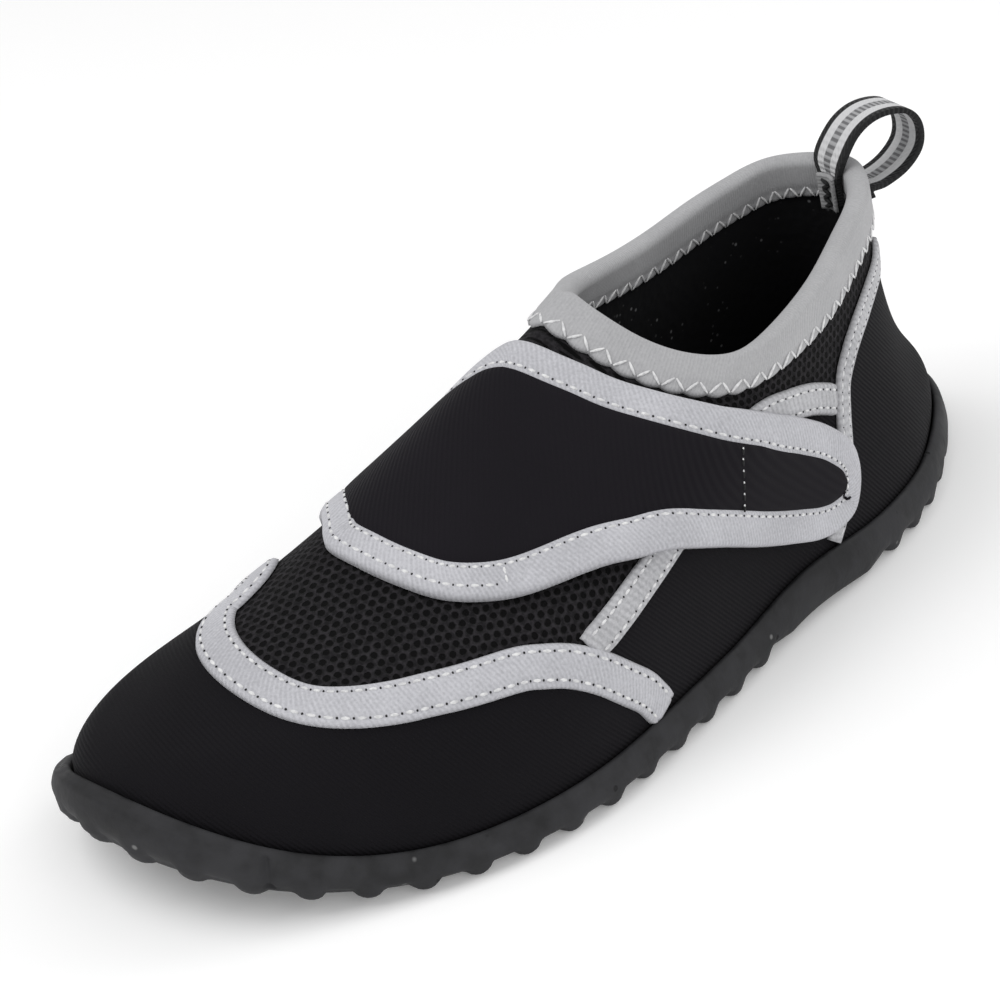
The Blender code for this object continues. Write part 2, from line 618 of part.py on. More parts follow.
def pull_loop():
    """A loop of webbing sewn inside and outside the heel, and the patch over its inner end."""
    skin = CLEARANCE + BINDING_THICKNESS
    inside = -(UPPER_WALL + skin + CLEARANCE + LOOP_THICKNESS / 2)
    outside = skin + CLEARANCE + LOOP_THICKNESS / 2
    line, top, across = heel_line(0.0, inside)
    spread = np.linspace(-0.5, 0.5, 5) * LOOP_WIDTH
    back = last_normal(LOOP_PLACE, 1.0) * (1, 1, 0)
    back /= np.linalg.norm(back)
    lines = [heel_line(depth, inside)[0] for depth in (0.0085, 0.0052, 0.0020)]
    for row in LOOP_ROWS:
        middle = top + back * row.back * LOOP_REACH + np.array([0, 0, row.high * LOOP_RISE])
        lines.append(middle + across * spread[:, None])
    lines += [heel_line(depth, outside)[0] for depth in (0.0062, 0.0086)]
    lines = np.array(lines)
    ends = np.concatenate([2 * lines[:1] - lines[1:2], lines, 2 * lines[-1:] - lines[-2:-1]])
    curve = []
    for a, b, c, d in zip(ends[:-3], ends[1:-2], ends[2:-1], ends[3:]):
        for t in (0, 0.5):
            curve.append(0.5 * (2 * b + (c - a) * t + (2 * a - 5 * b + 4 * c - d) * t ** 2
                                + (3 * b - a - 3 * c + d) * t ** 3))
    curve.append(lines[-1])
    band("pull_loop", curve, LOOP_THICKNESS, material("webbing", (0.30, 0.30, 0.31), 0.8))
    depth_in = inside - LOOP_THICKNESS / 2 - CLEARANCE - PATCH_THICKNESS / 2
    patch = [heel_line(depth, depth_in)[0] for depth in (0.0100, 0.0068, 0.0035, 0.0002)]
    band("loop_patch", patch, PATCH_THICKNESS, material("patch", (0.36, 0.36, 0.37), 0.8))


outsole()
insole()
upper()
collar_binding()
tapes()
strap()
pull_loop()
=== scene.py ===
# %% [markdown]
# # A water shoe
# A light slip-on shoe for the beach: a black neoprene upper with mesh windows, grey tapes
# over its seams, a strap over the instep, a loop at the heel and a rubber sole with nubs.
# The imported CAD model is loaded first. It settles every size, and the pieces made here
# take the place of its plain solids.

from collections import namedtuple
from math import ceil, cos, pi, radians, sin

import bmesh
import bpy
import numpy as np
from mathutils import Matrix, Vector


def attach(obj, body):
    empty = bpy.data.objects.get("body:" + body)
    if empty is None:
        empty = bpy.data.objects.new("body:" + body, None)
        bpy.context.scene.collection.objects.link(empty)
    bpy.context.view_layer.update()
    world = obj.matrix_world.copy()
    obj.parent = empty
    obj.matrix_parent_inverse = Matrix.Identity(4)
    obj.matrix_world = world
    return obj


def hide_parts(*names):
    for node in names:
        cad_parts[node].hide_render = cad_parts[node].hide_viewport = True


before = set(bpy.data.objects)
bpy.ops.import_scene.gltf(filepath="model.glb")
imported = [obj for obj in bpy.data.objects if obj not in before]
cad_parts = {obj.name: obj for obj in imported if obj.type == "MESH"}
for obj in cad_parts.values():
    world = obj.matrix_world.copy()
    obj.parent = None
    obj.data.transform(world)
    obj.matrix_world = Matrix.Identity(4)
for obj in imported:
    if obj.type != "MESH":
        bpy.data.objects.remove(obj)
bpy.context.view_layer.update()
print("nodes:", sorted(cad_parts))

# %% [markdown]
# ## The sizes of the shoe
# These are the measures of the real shoe, in metres. A shoemaker starts from the same
# ones: length, ball width, instep and heel height, then the sole, the wall and the tapes.

# %% Sizes
LENGTH = 0.275
BALL_WIDTH = 0.1034
INSTEP_HEIGHT = 0.0830
HEEL_HEIGHT = 0.0790
TOE_SPRING = 0.0150
ARCH_RISE = 0.0025
LIP_HEIGHT = 0.0120
SOLE_WALL = 0.0041
SOLE_FLOOR = 0.0045
UPPER_WALL = 0.0024
TAPE_WIDTH = 0.0095
HEEL_TAPE_WIDTH = 0.0060
TAPE_THICKNESS = 0.0010
BINDING_DEPTH = 0.0090
BINDING_THICKNESS = 0.0012
STRAP_THICKNESS = 0.0020
STRAP_TAPE_WIDTH = 0.0090
STRAP_TAPE_THICKNESS = 0.0023
LOOP_WIDTH = 0.0120
LOOP_PLACE = 0.485
LOOP_THICKNESS = 0.0014
LOOP_RISE = 0.0130
LOOP_REACH = 0.0180
PATCH_THICKNESS = 0.0008
CLEARANCE = 0.0004
SPRING_END = 0.255
ARCH_FROM = 0.50
ARCH_TO = 0.76
TAPE_FOOT = 0.02
MOVE_STEPS = 4
FINE = 1e-4
print("length", LENGTH, "ball", BALL_WIDTH)

# %% [markdown]
# ## The last
# A shoe is built over a last, and every piece of this one follows its surface. Ribs climb
# from the sole's lip to the collar. A place is two shares: around, 0 at the toe, 0.5 at
# the heel and growing along the outer side, and up, 0 at the lip and 1 at the collar.
# Closed splines through short tables give the outline, the collar and the ribs.

# %% The last's tables
# The sole's outline at each station, toe first: how far along the length it lies, how far
# the edge lies across on either side in ball widths, and the lip's height in lip heights.
SoleRow = namedtuple("SoleRow", "along lateral medial lip_lateral lip_medial")
SOLE_ROWS = (
    SoleRow(0.000, -0.100, -0.100, 1.20, 1.20),
    SoleRow(0.014, 0.068, -0.255, 1.20, 0.98),
    SoleRow(0.055, 0.222, -0.380, 1.00, 0.78),
    SoleRow(0.113, 0.342, -0.455, 0.80, 0.72),
    SoleRow(0.196, 0.449, -0.493, 0.72, 0.72),
    SoleRow(0.302, 0.502, -0.498, 0.74, 0.76),
    SoleRow(0.404, 0.483, -0.455, 0.78, 0.80),
    SoleRow(0.516, 0.436, -0.388, 0.83, 0.86),
    SoleRow(0.615, 0.392, -0.362, 0.86, 0.88),
    SoleRow(0.713, 0.366, -0.380, 0.90, 0.90),
    SoleRow(0.818, 0.311, -0.397, 0.93, 0.93),
    SoleRow(0.898, 0.212, -0.357, 0.97, 0.97),
    SoleRow(0.964, 0.086, -0.252, 1.00, 1.00),
    SoleRow(1.000, -0.085, -0.085, 1.00, 1.00),
)

# The collar's edge at the same stations: along the length, across in ball widths, how
# much of its height follows the heel and not the instep, and its height in that measure.
CollarRow = namedtuple("CollarRow", "along lateral medial heel_part high_lateral high_medial")
COLLAR_ROWS = (
    CollarRow(0.517, -0.045, -0.045, 0.00, 0.991, 0.991),
    CollarRow(0.517, -0.018, -0.062, 0.00, 0.981, 0.985),
    CollarRow(0.520, 0.017, -0.080, 0.00, 0.957, 0.977),
    CollarRow(0.526, 0.060, -0.100, 0.00, 0.925, 0.968),
    CollarRow(0.536, 0.110, -0.126, 0.00, 0.886, 0.952),
    CollarRow(0.553, 0.173, -0.162, 0.00, 0.847, 0.929),
    CollarRow(0.582, 0.228, -0.215, 0.10, 0.821, 0.902),
    CollarRow(0.622, 0.246, -0.253, 0.25, 0.820, 0.878),
    CollarRow(0.673, 0.234, -0.286, 0.50, 0.850, 0.862),
    CollarRow(0.731, 0.197, -0.313, 0.75, 0.893, 0.864),
    CollarRow(0.789, 0.140, -0.329, 0.90, 0.940, 0.883),
    CollarRow(0.843, 0.074, -0.325, 1.00, 0.972, 0.906),
    CollarRow(0.884, -0.020, -0.274, 1.00, 0.980, 0.938),
    CollarRow(0.900, -0.124, -0.124, 1.00, 0.974, 0.974),
)

# How each rib climbs from the lip: the height of its rounded shoulder in instep heights,
# the share of the way in that the shoulder takes, and the power of the slope above it.
RibRow = namedtuple("RibRow", "rise_lateral rise_medial reach_lateral reach_medial "
                              "power_lateral power_medial")
RIB_ROWS = (
    RibRow(0.045, 0.045, 0.06, 0.06, 1.30, 1.30),
    RibRow(0.065, 0.085, 0.09, 0.06, 1.30, 1.32),
    RibRow(0.130, 0.150, 0.18, 0.12, 1.22, 1.40),
    RibRow(0.180, 0.172, 0.26, 0.20, 1.12, 1.42),
    RibRow(0.210, 0.190, 0.34, 0.30, 1.07, 1.46),
    RibRow(0.250, 0.215, 0.40, 0.40, 1.06, 1.52),
    RibRow(0.290, 0.250, 0.46, 0.50, 1.10, 1.56),
    RibRow(0.320, 0.290, 0.51, 0.54, 1.20, 1.58),
    RibRow(0.330, 0.330, 0.54, 0.54, 1.40, 1.58),
    RibRow(0.310, 0.310, 0.54, 0.54, 1.65, 1.65),
    RibRow(0.260, 0.260, 0.53, 0.53, 2.00, 2.00),
    RibRow(0.200, 0.200, 0.52, 0.52, 2.40, 2.40),
    RibRow(0.170, 0.170, 0.50, 0.50, 2.70, 2.70),
    RibRow(0.160, 0.160, 0.50, 0.50, 2.80, 2.80),
)

# %% Closed splines through the tables
def around_ring(rows, lateral, medial):
    """One value per rib, all the way round: lateral side out, medial side back."""
    out = [getattr(row, lateral) for row in rows]
    back = [getattr(row, medial) for row in rows[-2:0:-1]]
    return np.array(out + back, dtype=float)


def closed_spline(values):
    """A closed cubic spline through evenly spaced values, read at shares from 0 to 1."""
    count = len(values)
    link = 4 * np.eye(count) + np.roll(np.eye(count), 1, 0) + np.roll(np.eye(count), -1, 0)
    pull = 6 * (np.roll(values, -1, 0) - 2 * values + np.roll(values, 1, 0))
    curve = np.linalg.solve(link, pull)

    def read(share):
        place = (np.asarray(share, dtype=float) % 1.0) * count
        low = np.floor(place).astype(int) % count
        high = (low + 1) % count
        b = place - np.floor(place)
        a = 1 - b
        bend = (a ** 3 - a) * curve[low] + (b ** 3 - b) * curve[high]
        return a * values[low] + b * values[high] + bend / 6

    return read


def spline_of(rows, lateral, medial=None, size=1.0):
    """A closed spline for one column of a table, or for a lateral and a medial one."""
    return closed_spline(size * around_ring(rows, lateral, medial or lateral))


SOLE_ALONG = spline_of(SOLE_ROWS, "along", size=LENGTH)
SOLE_ACROSS = spline_of(SOLE_ROWS, "lateral", "medial", BALL_WIDTH)
SOLE_LIP = spline_of(SOLE_ROWS, "lip_lateral", "lip_medial", LIP_HEIGHT)
COLLAR_ALONG = spline_of(COLLAR_ROWS, "along", size=LENGTH)
COLLAR_ACROSS = spline_of(COLLAR_ROWS, "lateral", "medial", BALL_WIDTH)
COLLAR_HEEL_PART = spline_of(COLLAR_ROWS, "heel_part")
COLLAR_SHARE = spline_of(COLLAR_ROWS, "high_lateral", "high_medial")
RIB_RISE = spline_of(RIB_ROWS, "rise_lateral", "rise_medial", INSTEP_HEIGHT)
RIB_REACH = spline_of(RIB_ROWS, "reach_lateral", "reach_medial")
RIB_POWER = spline_of(RIB_ROWS, "power_lateral", "power_medial")

print("heel width", round(float(SOLE_ACROSS(0.36) - SOLE_ACROSS(0.64)), 4))

# %% [markdown]
# A rib leaves the lip, turns inwards over a rounded shoulder and climbs a slope to the
# collar. A sculpted mesh could give the same form, but a surface that can be asked for any
# point lets every tape, strap and stitch be laid on it at a known distance.

# %% The last's surface
def collar_high(around):
    """The collar's height, measured against the instep in front and the heel behind."""
    heel_part = COLLAR_HEEL_PART(around)
    return COLLAR_SHARE(around) * (INSTEP_HEIGHT + (HEEL_HEIGHT - INSTEP_HEIGHT) * heel_part)


def ground_lift(y):
    """Height of the sole's underside: toe spring in front, a low arch at the waist."""
    along = np.clip(y / LENGTH + 0.5, 0, 1)
    spring = TOE_SPRING * np.clip(1 - along / SPRING_END, 0, None) ** 3
    arch = np.clip((along - ARCH_FROM) / (ARCH_TO - ARCH_FROM), 0, 1)
    return spring + ARCH_RISE * np.sin(pi * arch) ** 2


def sole_plan(around, inset=0.0):
    """The sole's outline seen from above, moved inwards by inset."""
    step = FINE
    point = np.stack([SOLE_ACROSS(around), SOLE_ALONG(around) - LENGTH / 2], -1)
    ahead = np.stack([SOLE_ACROSS(around + step), SOLE_ALONG(around + step)], -1)
    behind = np.stack([SOLE_ACROSS(around - step), SOLE_ALONG(around - step)], -1)
    run = ahead - behind
    run /= np.linalg.norm(run, axis=-1, keepdims=True)
    inward = np.stack([-run[..., 1], run[..., 0]], -1)
    return point + inward * np.asarray(inset)[..., None]


def shoulder_share(reach):
    """The share of a rib that its rounded shoulder takes up."""
    arc = reach * pi / 2
    return arc / (arc + 1 - reach)


def last_point(around, up):
    """A point of the last's surface."""
    around, up = np.broadcast_arrays(np.asarray(around, float), np.asarray(up, float))
    foot = sole_plan(around, SOLE_WALL + CLEARANCE)
    top = np.stack([COLLAR_ACROSS(around), COLLAR_ALONG(around) - LENGTH / 2], -1)
    base = SOLE_LIP(around) + ground_lift(foot[..., 1])
    rise = RIB_RISE(around)
    reach = RIB_REACH(around)
    shoulder = shoulder_share(reach)
    turn = np.clip(up / shoulder, 0, 1) * pi / 2
    slope = np.clip((up - shoulder) / (1 - shoulder), 0, 1)
    inward = reach * (1 - np.cos(turn)) + (1 - reach) * slope
    plan = foot + (top - foot) * inward[..., None]
    climb = collar_high(around) - base - rise
    high = base + rise * np.sin(turn) + climb * inward ** RIB_POWER(around)
    return np.concatenate([plan, high[..., None]], -1)


def last_normal(around, up):
    """The outward normal of the last's surface."""
    step = FINE
    up = np.clip(up, step, 1 - step)
    along = last_point(around + step, up) - last_point(around - step, up)
    climb = last_point(around, up + step) - last_point(around, up - step)
    normal = np.cross(along, climb)
    return normal / np.linalg.norm(normal, axis=-1, keepdims=True)


def off_last(around, up, distance):
    """A point at a distance outside the last, or inside it where negative."""
    distance = np.asarray(distance, float)
    return last_point(around, up) + last_normal(around, up) * distance[..., None]


print("toe box at", last_point(0.1, 0.4))

# %% [markdown]
# Pieces are placed by real distances, so two helpers walk over the surface: each small
# step asks how fast a point moves with either share, and solves for the shares it needs.

# %% Walks over the last
def step_on_last(around, up, shift):
    """The shares that lie a small shift away, along the surface."""
    middle = np.clip(up, FINE, 1 - FINE)
    along = (last_point(around + FINE, middle) - last_point(around - FINE, middle)) / (2 * FINE)
    climb = (last_point(around, middle + FINE) - last_point(around, middle - FINE)) / (2 * FINE)
    aa = (along * along).sum(-1)
    cc = (climb * climb).sum(-1)
    ac = (along * climb).sum(-1)
    sa = (shift * along).sum(-1)
    sc = (shift * climb).sum(-1)
    span = aa * cc - ac * ac
    return around + (sa * cc - sc * ac) / span, up + (sc * aa - sa * ac) / span


def move_on_last(around, up, shift):
    """The shares that lie a shift away, walked in a few small steps."""
    for _ in range(MOVE_STEPS):
        around, up = step_on_last(around, up, shift / MOVE_STEPS)
    return around, up


print("pushed 10 mm up, a place moves to", move_on_last(0.1, 0.4, np.array([0, 0, 0.010])))

# %% [markdown]
# Lines on the last are measured point by point. The other helpers here find how far up a
# rib a depth below the collar lies, and draw soft curves through a few points, as a
# flexible ruler does.

# %% Lines on the last
def run_along(points):
    """How far along a line each of its points lies."""
    return np.concatenate([[0], np.cumsum(np.linalg.norm(np.diff(points, axis=0), axis=1))])


def read_along(stops, run, values):
    """Columns of values, known along a run, read at the stops."""
    return np.stack([np.interp(stops, run, column) for column in values.T], -1)


def below_collar(around, depth):
    """The upward share that lies a depth below the collar, measured down each rib."""
    ladder = np.linspace(1, 0, 101)
    shares = []
    for place in np.atleast_1d(around):
        rib = last_point(np.full(ladder.shape, place), ladder)
        shares.append(np.interp(depth, run_along(rib), ladder))
    return np.array(shares)


def soft_curve(rows, count):
    """A soft curve through rows of points, with count steps from each row to the next."""
    ends = np.concatenate([2 * rows[:1] - rows[1:2], rows, 2 * rows[-1:] - rows[-2:-1]])
    curve = []
    for a, b, c, d in zip(ends[:-3], ends[1:-2], ends[2:-1], ends[3:]):
        for t in np.linspace(0, 1, count, endpoint=False):
            curve.append(0.5 * (2 * b + (c - a) * t + (2 * a - 5 * b + 4 * c - d) * t ** 2
                                + (3 * b - a - 3 * c + d) * t ** 3))
    return np.array(curve + [rows[-1]])


def smooth_path(rows, pitch):
    """Shares along a soft curve through rows of (around, up), about a pitch apart."""
    curve = soft_curve(np.array(rows, dtype=float), 12)
    run = run_along(last_point(curve[:, 0], curve[:, 1]))
    stops = np.linspace(0, run[-1], max(2, ceil(run[-1] / pitch) + 1))
    return read_along(stops, run, curve)


def sideways(path):
    """Unit vectors that lie in the surface and point to the left of a path on it."""
    points = last_point(path[:, 0], path[:, 1])
    run = np.gradient(points, axis=0)
    side = np.cross(last_normal(path[:, 0], path[:, 1]), run)
    return side / np.linalg.norm(side, axis=1, keepdims=True)


print("10 mm below the collar at the heel:", below_collar(0.5, 0.010))

# %% [markdown]
# ## Where the tapes and the strap run
# Their middle lines and the strap's edge are drawn as a pattern maker draws them on the
# last, with a few points each, and a soft curve joins the points. Curves drawn in space
# and shrunk onto a mesh would do it too, but these stay on the surface when a size changes.

# %% Paths of tapes and strap
# Paths over the last, as shares (around, up); the medial side has around below 0.
VAMP_PATH = ((0.232, 0.02), (0.230, 0.052), (0.222, 0.133), (0.204, 0.233), (0.186, 0.300),
             (0.171, 0.333), (0.156, 0.345), (0.130, 0.323), (0.111, 0.300), (0.089, 0.280),
             (0.063, 0.265), (0.033, 0.265), (-0.005, 0.280), (-0.034, 0.297),
             (-0.056, 0.325), (-0.059, 0.355), (-0.066, 0.390), (-0.080, 0.408),
             (-0.096, 0.404), (-0.114, 0.382), (-0.134, 0.345), (-0.153, 0.297),
             (-0.169, 0.240), (-0.182, 0.172), (-0.191, 0.100), (-0.195, 0.02))
SIDE_PATH = ((0.198, 0.352), (0.204, 0.376), (0.212, 0.412), (0.222, 0.460), (0.238, 0.550),
             (0.257, 0.645), (0.272, 0.693), (0.287, 0.688), (0.304, 0.645), (0.324, 0.598))
HEEL_PATH = ((0.331, 0.02), (0.335, 0.09), (0.338, 0.165), (0.341, 0.307), (0.343, 0.485),
             (0.347, 0.620), (0.356, 0.708), (0.367, 0.763), (0.382, 0.807), (0.400, 0.843),
             (0.420, 0.868))
# The strap's edge: up the medial side in front, round its lateral end and back.
STRAP_EDGE = ((-0.262, 0.042), (-0.243, 0.172), (-0.214, 0.320), (-0.178, 0.420),
              (-0.136, 0.496), (-0.090, 0.532), (-0.045, 0.518), (-0.010, 0.492),
              (0.032, 0.488), (0.072, 0.487), (0.109, 0.480), (0.141, 0.487), (0.178, 0.503),
              (0.204, 0.486), (0.229, 0.453), (0.265, 0.333), (0.302, 0.158), (0.316, 0.098),
              (0.327, 0.080), (0.338, 0.105), (0.343, 0.188), (0.344, 0.300), (0.340, 0.395),
              (0.328, 0.482), (0.311, 0.566), (0.271, 0.762), (0.231, 0.864), (0.183, 0.906),
              (0.125, 0.920), (0.060, 0.918), (0.005, 0.910), (-0.045, 0.900), (-0.090, 0.868),
              (-0.140, 0.810), (-0.195, 0.738), (-0.238, 0.650), (-0.270, 0.510),
              (-0.292, 0.287), (-0.305, 0.046))


def over_tapes(around):
    """Height of the strap's underside: close to the vamp, then over the side tapes."""
    climb = np.clip((around - 0.13) / 0.07, 0, 1)
    return 1.6 * CLEARANCE + TAPE_THICKNESS * climb * climb * (3 - 2 * climb)


def path_length(path):
    """How far along a path over the last each of its points lies."""
    return run_along(last_point(path[:, 0], path[:, 1]))


def read_path(path, stops):
    """Shares at given distances along a path."""
    return read_along(stops, path_length(path), path)


vamp_line = smooth_path(VAMP_PATH, 0.001)
side_line = smooth_path(((0.191, 0.322),) + SIDE_PATH + ((0.341, 0.548),), 0.001)
heel_line = smooth_path(HEEL_PATH + ((0.438, 0.895),), 0.001)
strap_line = smooth_path(STRAP_EDGE, 0.001)
print("strap edge", round(path_length(strap_line)[-1], 3), "m")

# %% [markdown]
# ## Sheets bent over the last
# Cloth is flat until it is pulled over the last. So each piece starts as Blender's flat
# grid, and one step moves the grid's points to their place on the shoe. The grid keeps
# its UV map, in metres, so weave and stitches come out at their real size.

# %% Sheets and pieces
def bent_grid(columns, rows, place, size=(1.0, 1.0), closed=False):
    """A grid whose points go to place(along, across); size is its flat size for the UV map."""
    bm = bmesh.new()
    bmesh.ops.create_grid(bm, x_segments=columns, y_segments=rows, size=0.5)
    cloth = bm.loops.layers.uv.new("cloth")
    flat = np.array([vert.co for vert in bm.verts])[:, :2] + 0.5
    for face in bm.faces:
        for loop in face.loops:
            along, across = flat[loop.vert.index]
            loop[cloth].uv = (along * size[0], across * size[1])
    spots = place(flat[:, 0], flat[:, 1])
    for vert, spot in zip(bm.verts, spots):
        vert.co = spot
    if closed:
        bmesh.ops.remove_doubles(bm, verts=bm.verts, dist=1e-6)
    return bm


def piece(name, bm, cloth, slot, *nodes):
    """A finished object that rides on the shoe and may stand for CAD nodes."""
    mesh = bpy.data.meshes.new(name)
    bm.to_mesh(mesh)
    bm.free()
    mesh.materials.append(cloth)
    mesh.shade_smooth()
    made = bpy.data.objects.new(name, mesh)
    bpy.context.scene.collection.objects.link(made)
    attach(made, "root")
    if nodes:
        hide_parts(*nodes)
    print(name, len(mesh.polygons), "faces")
    return made


def outwards(bm):
    """Turns the faces of a closed mesh outwards."""
    bmesh.ops.recalc_face_normals(bm, faces=bm.faces)
    return bm


def thicken(made, thickness):
    """Gives a sheet its thickness, inwards from its outer face."""
    wall = made.modifiers.new("thickness", "SOLIDIFY")
    wall.thickness = thickness
    wall.offset = -1
    wall.use_even_offset = False


print("sheet helpers ready")

# %% [markdown]
# Some shapes are worked out once, at even steps, and then asked for places in between.
# Reading a table that way is much quicker than working each place out afresh.

# %% Reading a table
def read_table(table, row, column):
    """A table read between its entries, at places counted in rows and columns."""
    row = np.clip(row, 0, len(table) - 1.001)
    column = np.clip(column, 0, table.shape[1] - 1.001)
    low = row.astype(int)
    left = column.astype(int)
    spare = (1,) * (table.ndim - 2)
    part = (row - low).reshape(-1, *spare)
    share = (column - left).reshape(-1, *spare)
    near = table[low, left] * (1 - share) + table[low, left + 1] * share
    far = table[low + 1, left] * (1 - share) + table[low + 1, left + 1] * share
    return near * (1 - part) + far * part


print("a table's middle:", read_table(np.eye(3), np.array([0.5]), np.array([0.5])))

# %% [markdown]
# ## Finishes
# A finish is a Principled shader with a few nodes before it. It could be wired by hand in
# the shader editor. The helpers below add a node and join its inputs in one call, so each
# finish reads as a short recipe.

# %% Node helpers
def node(tree, kind, inputs=None, **settings):
    """Adds a node. An input's value may be a number, a colour or another node's output."""
    made = tree.nodes.new("ShaderNode" + kind)
    for key, value in settings.items():
        setattr(made, key, value)
    for key, value in (inputs or {}).items():
        if isinstance(value, bpy.types.NodeSocket):
            tree.links.new(value, made.inputs[key])
        else:
            made.inputs[key].default_value = value
    return made.outputs


def finish(name, colour, roughness, sheen=0.0, specular=0.5):
    """A Principled finish. Gives the material, its node tree and its shader's inputs."""
    made = bpy.data.materials.new(name)
    made.use_nodes = True
    made.diffuse_color = (*colour, 1)
    inputs = made.node_tree.nodes["Principled BSDF"].inputs
    inputs["Base Color"].default_value = (*colour, 1)
    inputs["Roughness"].default_value = roughness
    inputs["Specular IOR Level"].default_value = specular
    inputs["Sheen Weight"].default_value = sheen
    inputs["Sheen Roughness"].default_value = 0.5
    return made, made.node_tree, inputs


def total(tree, first, *others):
    """The sum of several values."""
    for other in others:
        first = node(tree, "Math", {0: first, 1: other}, operation="ADD")["Value"]
    return first


def scaled(tree, value, factor):
    """A value times a factor, which may be another node's output too."""
    return node(tree, "Math", {0: value, 1: factor}, operation="MULTIPLY")["Value"]


def ramp(tree, value, low, high, to_low=0.0, to_high=1.0):
    """A soft step of a value between low and high."""
    return node(tree, "MapRange", {"Value": value, "From Min": low, "From Max": high,
                                   "To Min": to_low, "To Max": to_high},
                interpolation_type="SMOOTHSTEP")["Result"]


print("node helpers ready")

# %% [markdown]
# Cloth and rubber are made of two patterns: cloudy noise for grain and wear, and waves for
# ribs. Mix nodes keep sockets of several types under the same names, so colours are joined
# by place: 6 and 7 are the two colours, and output 2 is their blend.

# %% Noise, ribs and colour
def noise(tree, spot, scale, detail=2.0):
    """Cloudy noise from 0 to 1, finer where the scale is higher."""
    return node(tree, "TexNoise", {"Vector": spot, "Scale": scale, "Detail": detail})["Fac"]


def bands(tree, spot, direction, pitch, bend=0.0):
    """Fine parallel ribs, from -1 to 1, at a pitch in metres along a direction."""
    way = Vector(direction).normalized() * (2 * pi / pitch)
    phase = node(tree, "VectorMath", {0: spot, 1: way}, operation="DOT_PRODUCT")["Value"]
    if bend:
        phase = total(tree, phase, scaled(tree, noise(tree, spot, 120.0), bend))
    return node(tree, "Math", {0: phase}, operation="SINE")["Value"]


def blend(tree, share, first, second):
    """Mixes two colours by a share."""
    made = tree.nodes.new("ShaderNodeMix")
    made.data_type = "RGBA"
    for place, value in ((0, share), (6, first), (7, second)):
        if isinstance(value, bpy.types.NodeSocket):
            tree.links.new(value, made.inputs[place])
        else:
            made.inputs[place].default_value = (*value, 1)
    return made.outputs[2]


def dress(tree, inputs, colour, height, depth, strength):
    """Gives a finish its colour, and fine relief by a bump node."""
    tree.links.new(colour, inputs["Base Color"])
    bump = node(tree, "Bump", {"Height": height, "Distance": depth, "Strength": strength})
    tree.links.new(bump["Normal"], inputs["Normal"])


print("pattern helpers ready")

# %% [markdown]
# ### Neoprene and mesh
# Neoprene for shoes is foam with a knitted face, and its fine ribs run aslant. The vamp
# and the collar's sides are an open mesh instead: round holes in staggered rows. Real
# holes would need a million faces. Three waves at 60 degrees to one another add up to
# just such rows of dots, and each gets painted shade: a near-black colour, with a bump
# that sinks it. The attribute "window" says where the mesh is, and the UV map
# keeps the holes round and even.

# %% Upper finish
MESH_PITCH = 0.0023


def mesh_dots(tree, flat):
    """Three waves at 60 degrees to one another, high together in staggered rows of dots."""
    waves = []
    for turn in (90, 30, 150):
        way = Vector((cos(radians(turn)), sin(radians(turn)), 0))
        way = way * (4 * pi / (3 ** 0.5 * MESH_PITCH))
        phase = node(tree, "VectorMath", {0: flat, 1: way}, operation="DOT_PRODUCT")["Value"]
        waves.append(node(tree, "Math", {0: phase}, operation="COSINE")["Value"])
    return total(tree, *waves)


def upper_cloth():
    """The upper's outer face: ribbed neoprene, and mesh in the windows, with painted shade in its
    holes.
    """
    made, tree, inputs = finish("neoprene_and_mesh", (0.010, 0.0095, 0.0115), 0.88, 0.02, 0.12)
    spot = node(tree, "TexCoord")["Object"]
    flat = node(tree, "UVMap", uv_map="cloth")["UV"]
    window = ramp(tree, node(tree, "Attribute", attribute_name="window")["Fac"], 0.4, 0.6)
    rib = bands(tree, spot, (0.25, 0.8, 0.75), 0.0009, 1.2)
    grain = noise(tree, spot, 2500.0)
    cloudy = noise(tree, spot, 35.0, 3.0)
    wander = noise(tree, spot, 900.0)
    dots = total(tree, mesh_dots(tree, flat), ramp(tree, wander, 0.2, 0.8, -0.8, 0.8))
    shaded_hole = scaled(tree, ramp(tree, dots, -0.5, 0.8), window)
    face = blend(tree, cloudy, (0.0046, 0.0041, 0.0054), (0.0078, 0.0071, 0.0090))
    yarn = ramp(tree, wander, 0.3, 0.7)
    knit = blend(tree, yarn, (0.009, 0.0085, 0.0095), (0.027, 0.025, 0.028))
    face = blend(tree, window, face, knit)
    # Painted shade: the mesh holes are coloured near-black, for the shade inside them.
    colour = blend(tree, shaded_hole, face, (0.0014, 0.0013, 0.0015))
    plain = node(tree, "Math", {0: 1.0, 1: window}, operation="SUBTRACT")["Value"]
    ribs = scaled(tree, scaled(tree, rib, 0.10), plain)
    height = total(tree, ribs, scaled(tree, grain, 0.10), scaled(tree, shaded_hole, -1.0))
    dress(tree, inputs, colour, height, 0.0009, 0.9)
    return made


neoprene = upper_cloth()
print("upper:", neoprene.name)

# %% [markdown]
# ### Lining and strap
# Both are knits. The lining is nearly black, and light that falls through the open mesh
# shows on it as tiny specks. The strap could share the upper's material, but the real one
# is a shade lighter with a hint of violet, and its ribs run another way.

# %% Lining and strap finishes
def lining_cloth():
    """The lining: black knit, with tiny specks of painted light where light falls through the outer
    mesh.
    """
    made, tree, inputs = finish("lining", (0.008, 0.008, 0.009), 0.9, 0.02, 0.12)
    spot = node(tree, "TexCoord")["Object"]
    cells = node(tree, "TexVoronoi", {"Vector": spot, "Scale": 420.0})["Distance"]
    patchy = ramp(tree, noise(tree, spot, 60.0), 0.50, 0.60)
    # Painted light: pale specks in random patches stand for light falling through the mesh.
    speck = scaled(tree, ramp(tree, cells, 0.24, 0.10), patchy)
    colour = blend(tree, speck, (0.009, 0.009, 0.010), (0.20, 0.20, 0.205))
    dress(tree, inputs, colour, cells, 0.0004, 0.7)
    return made


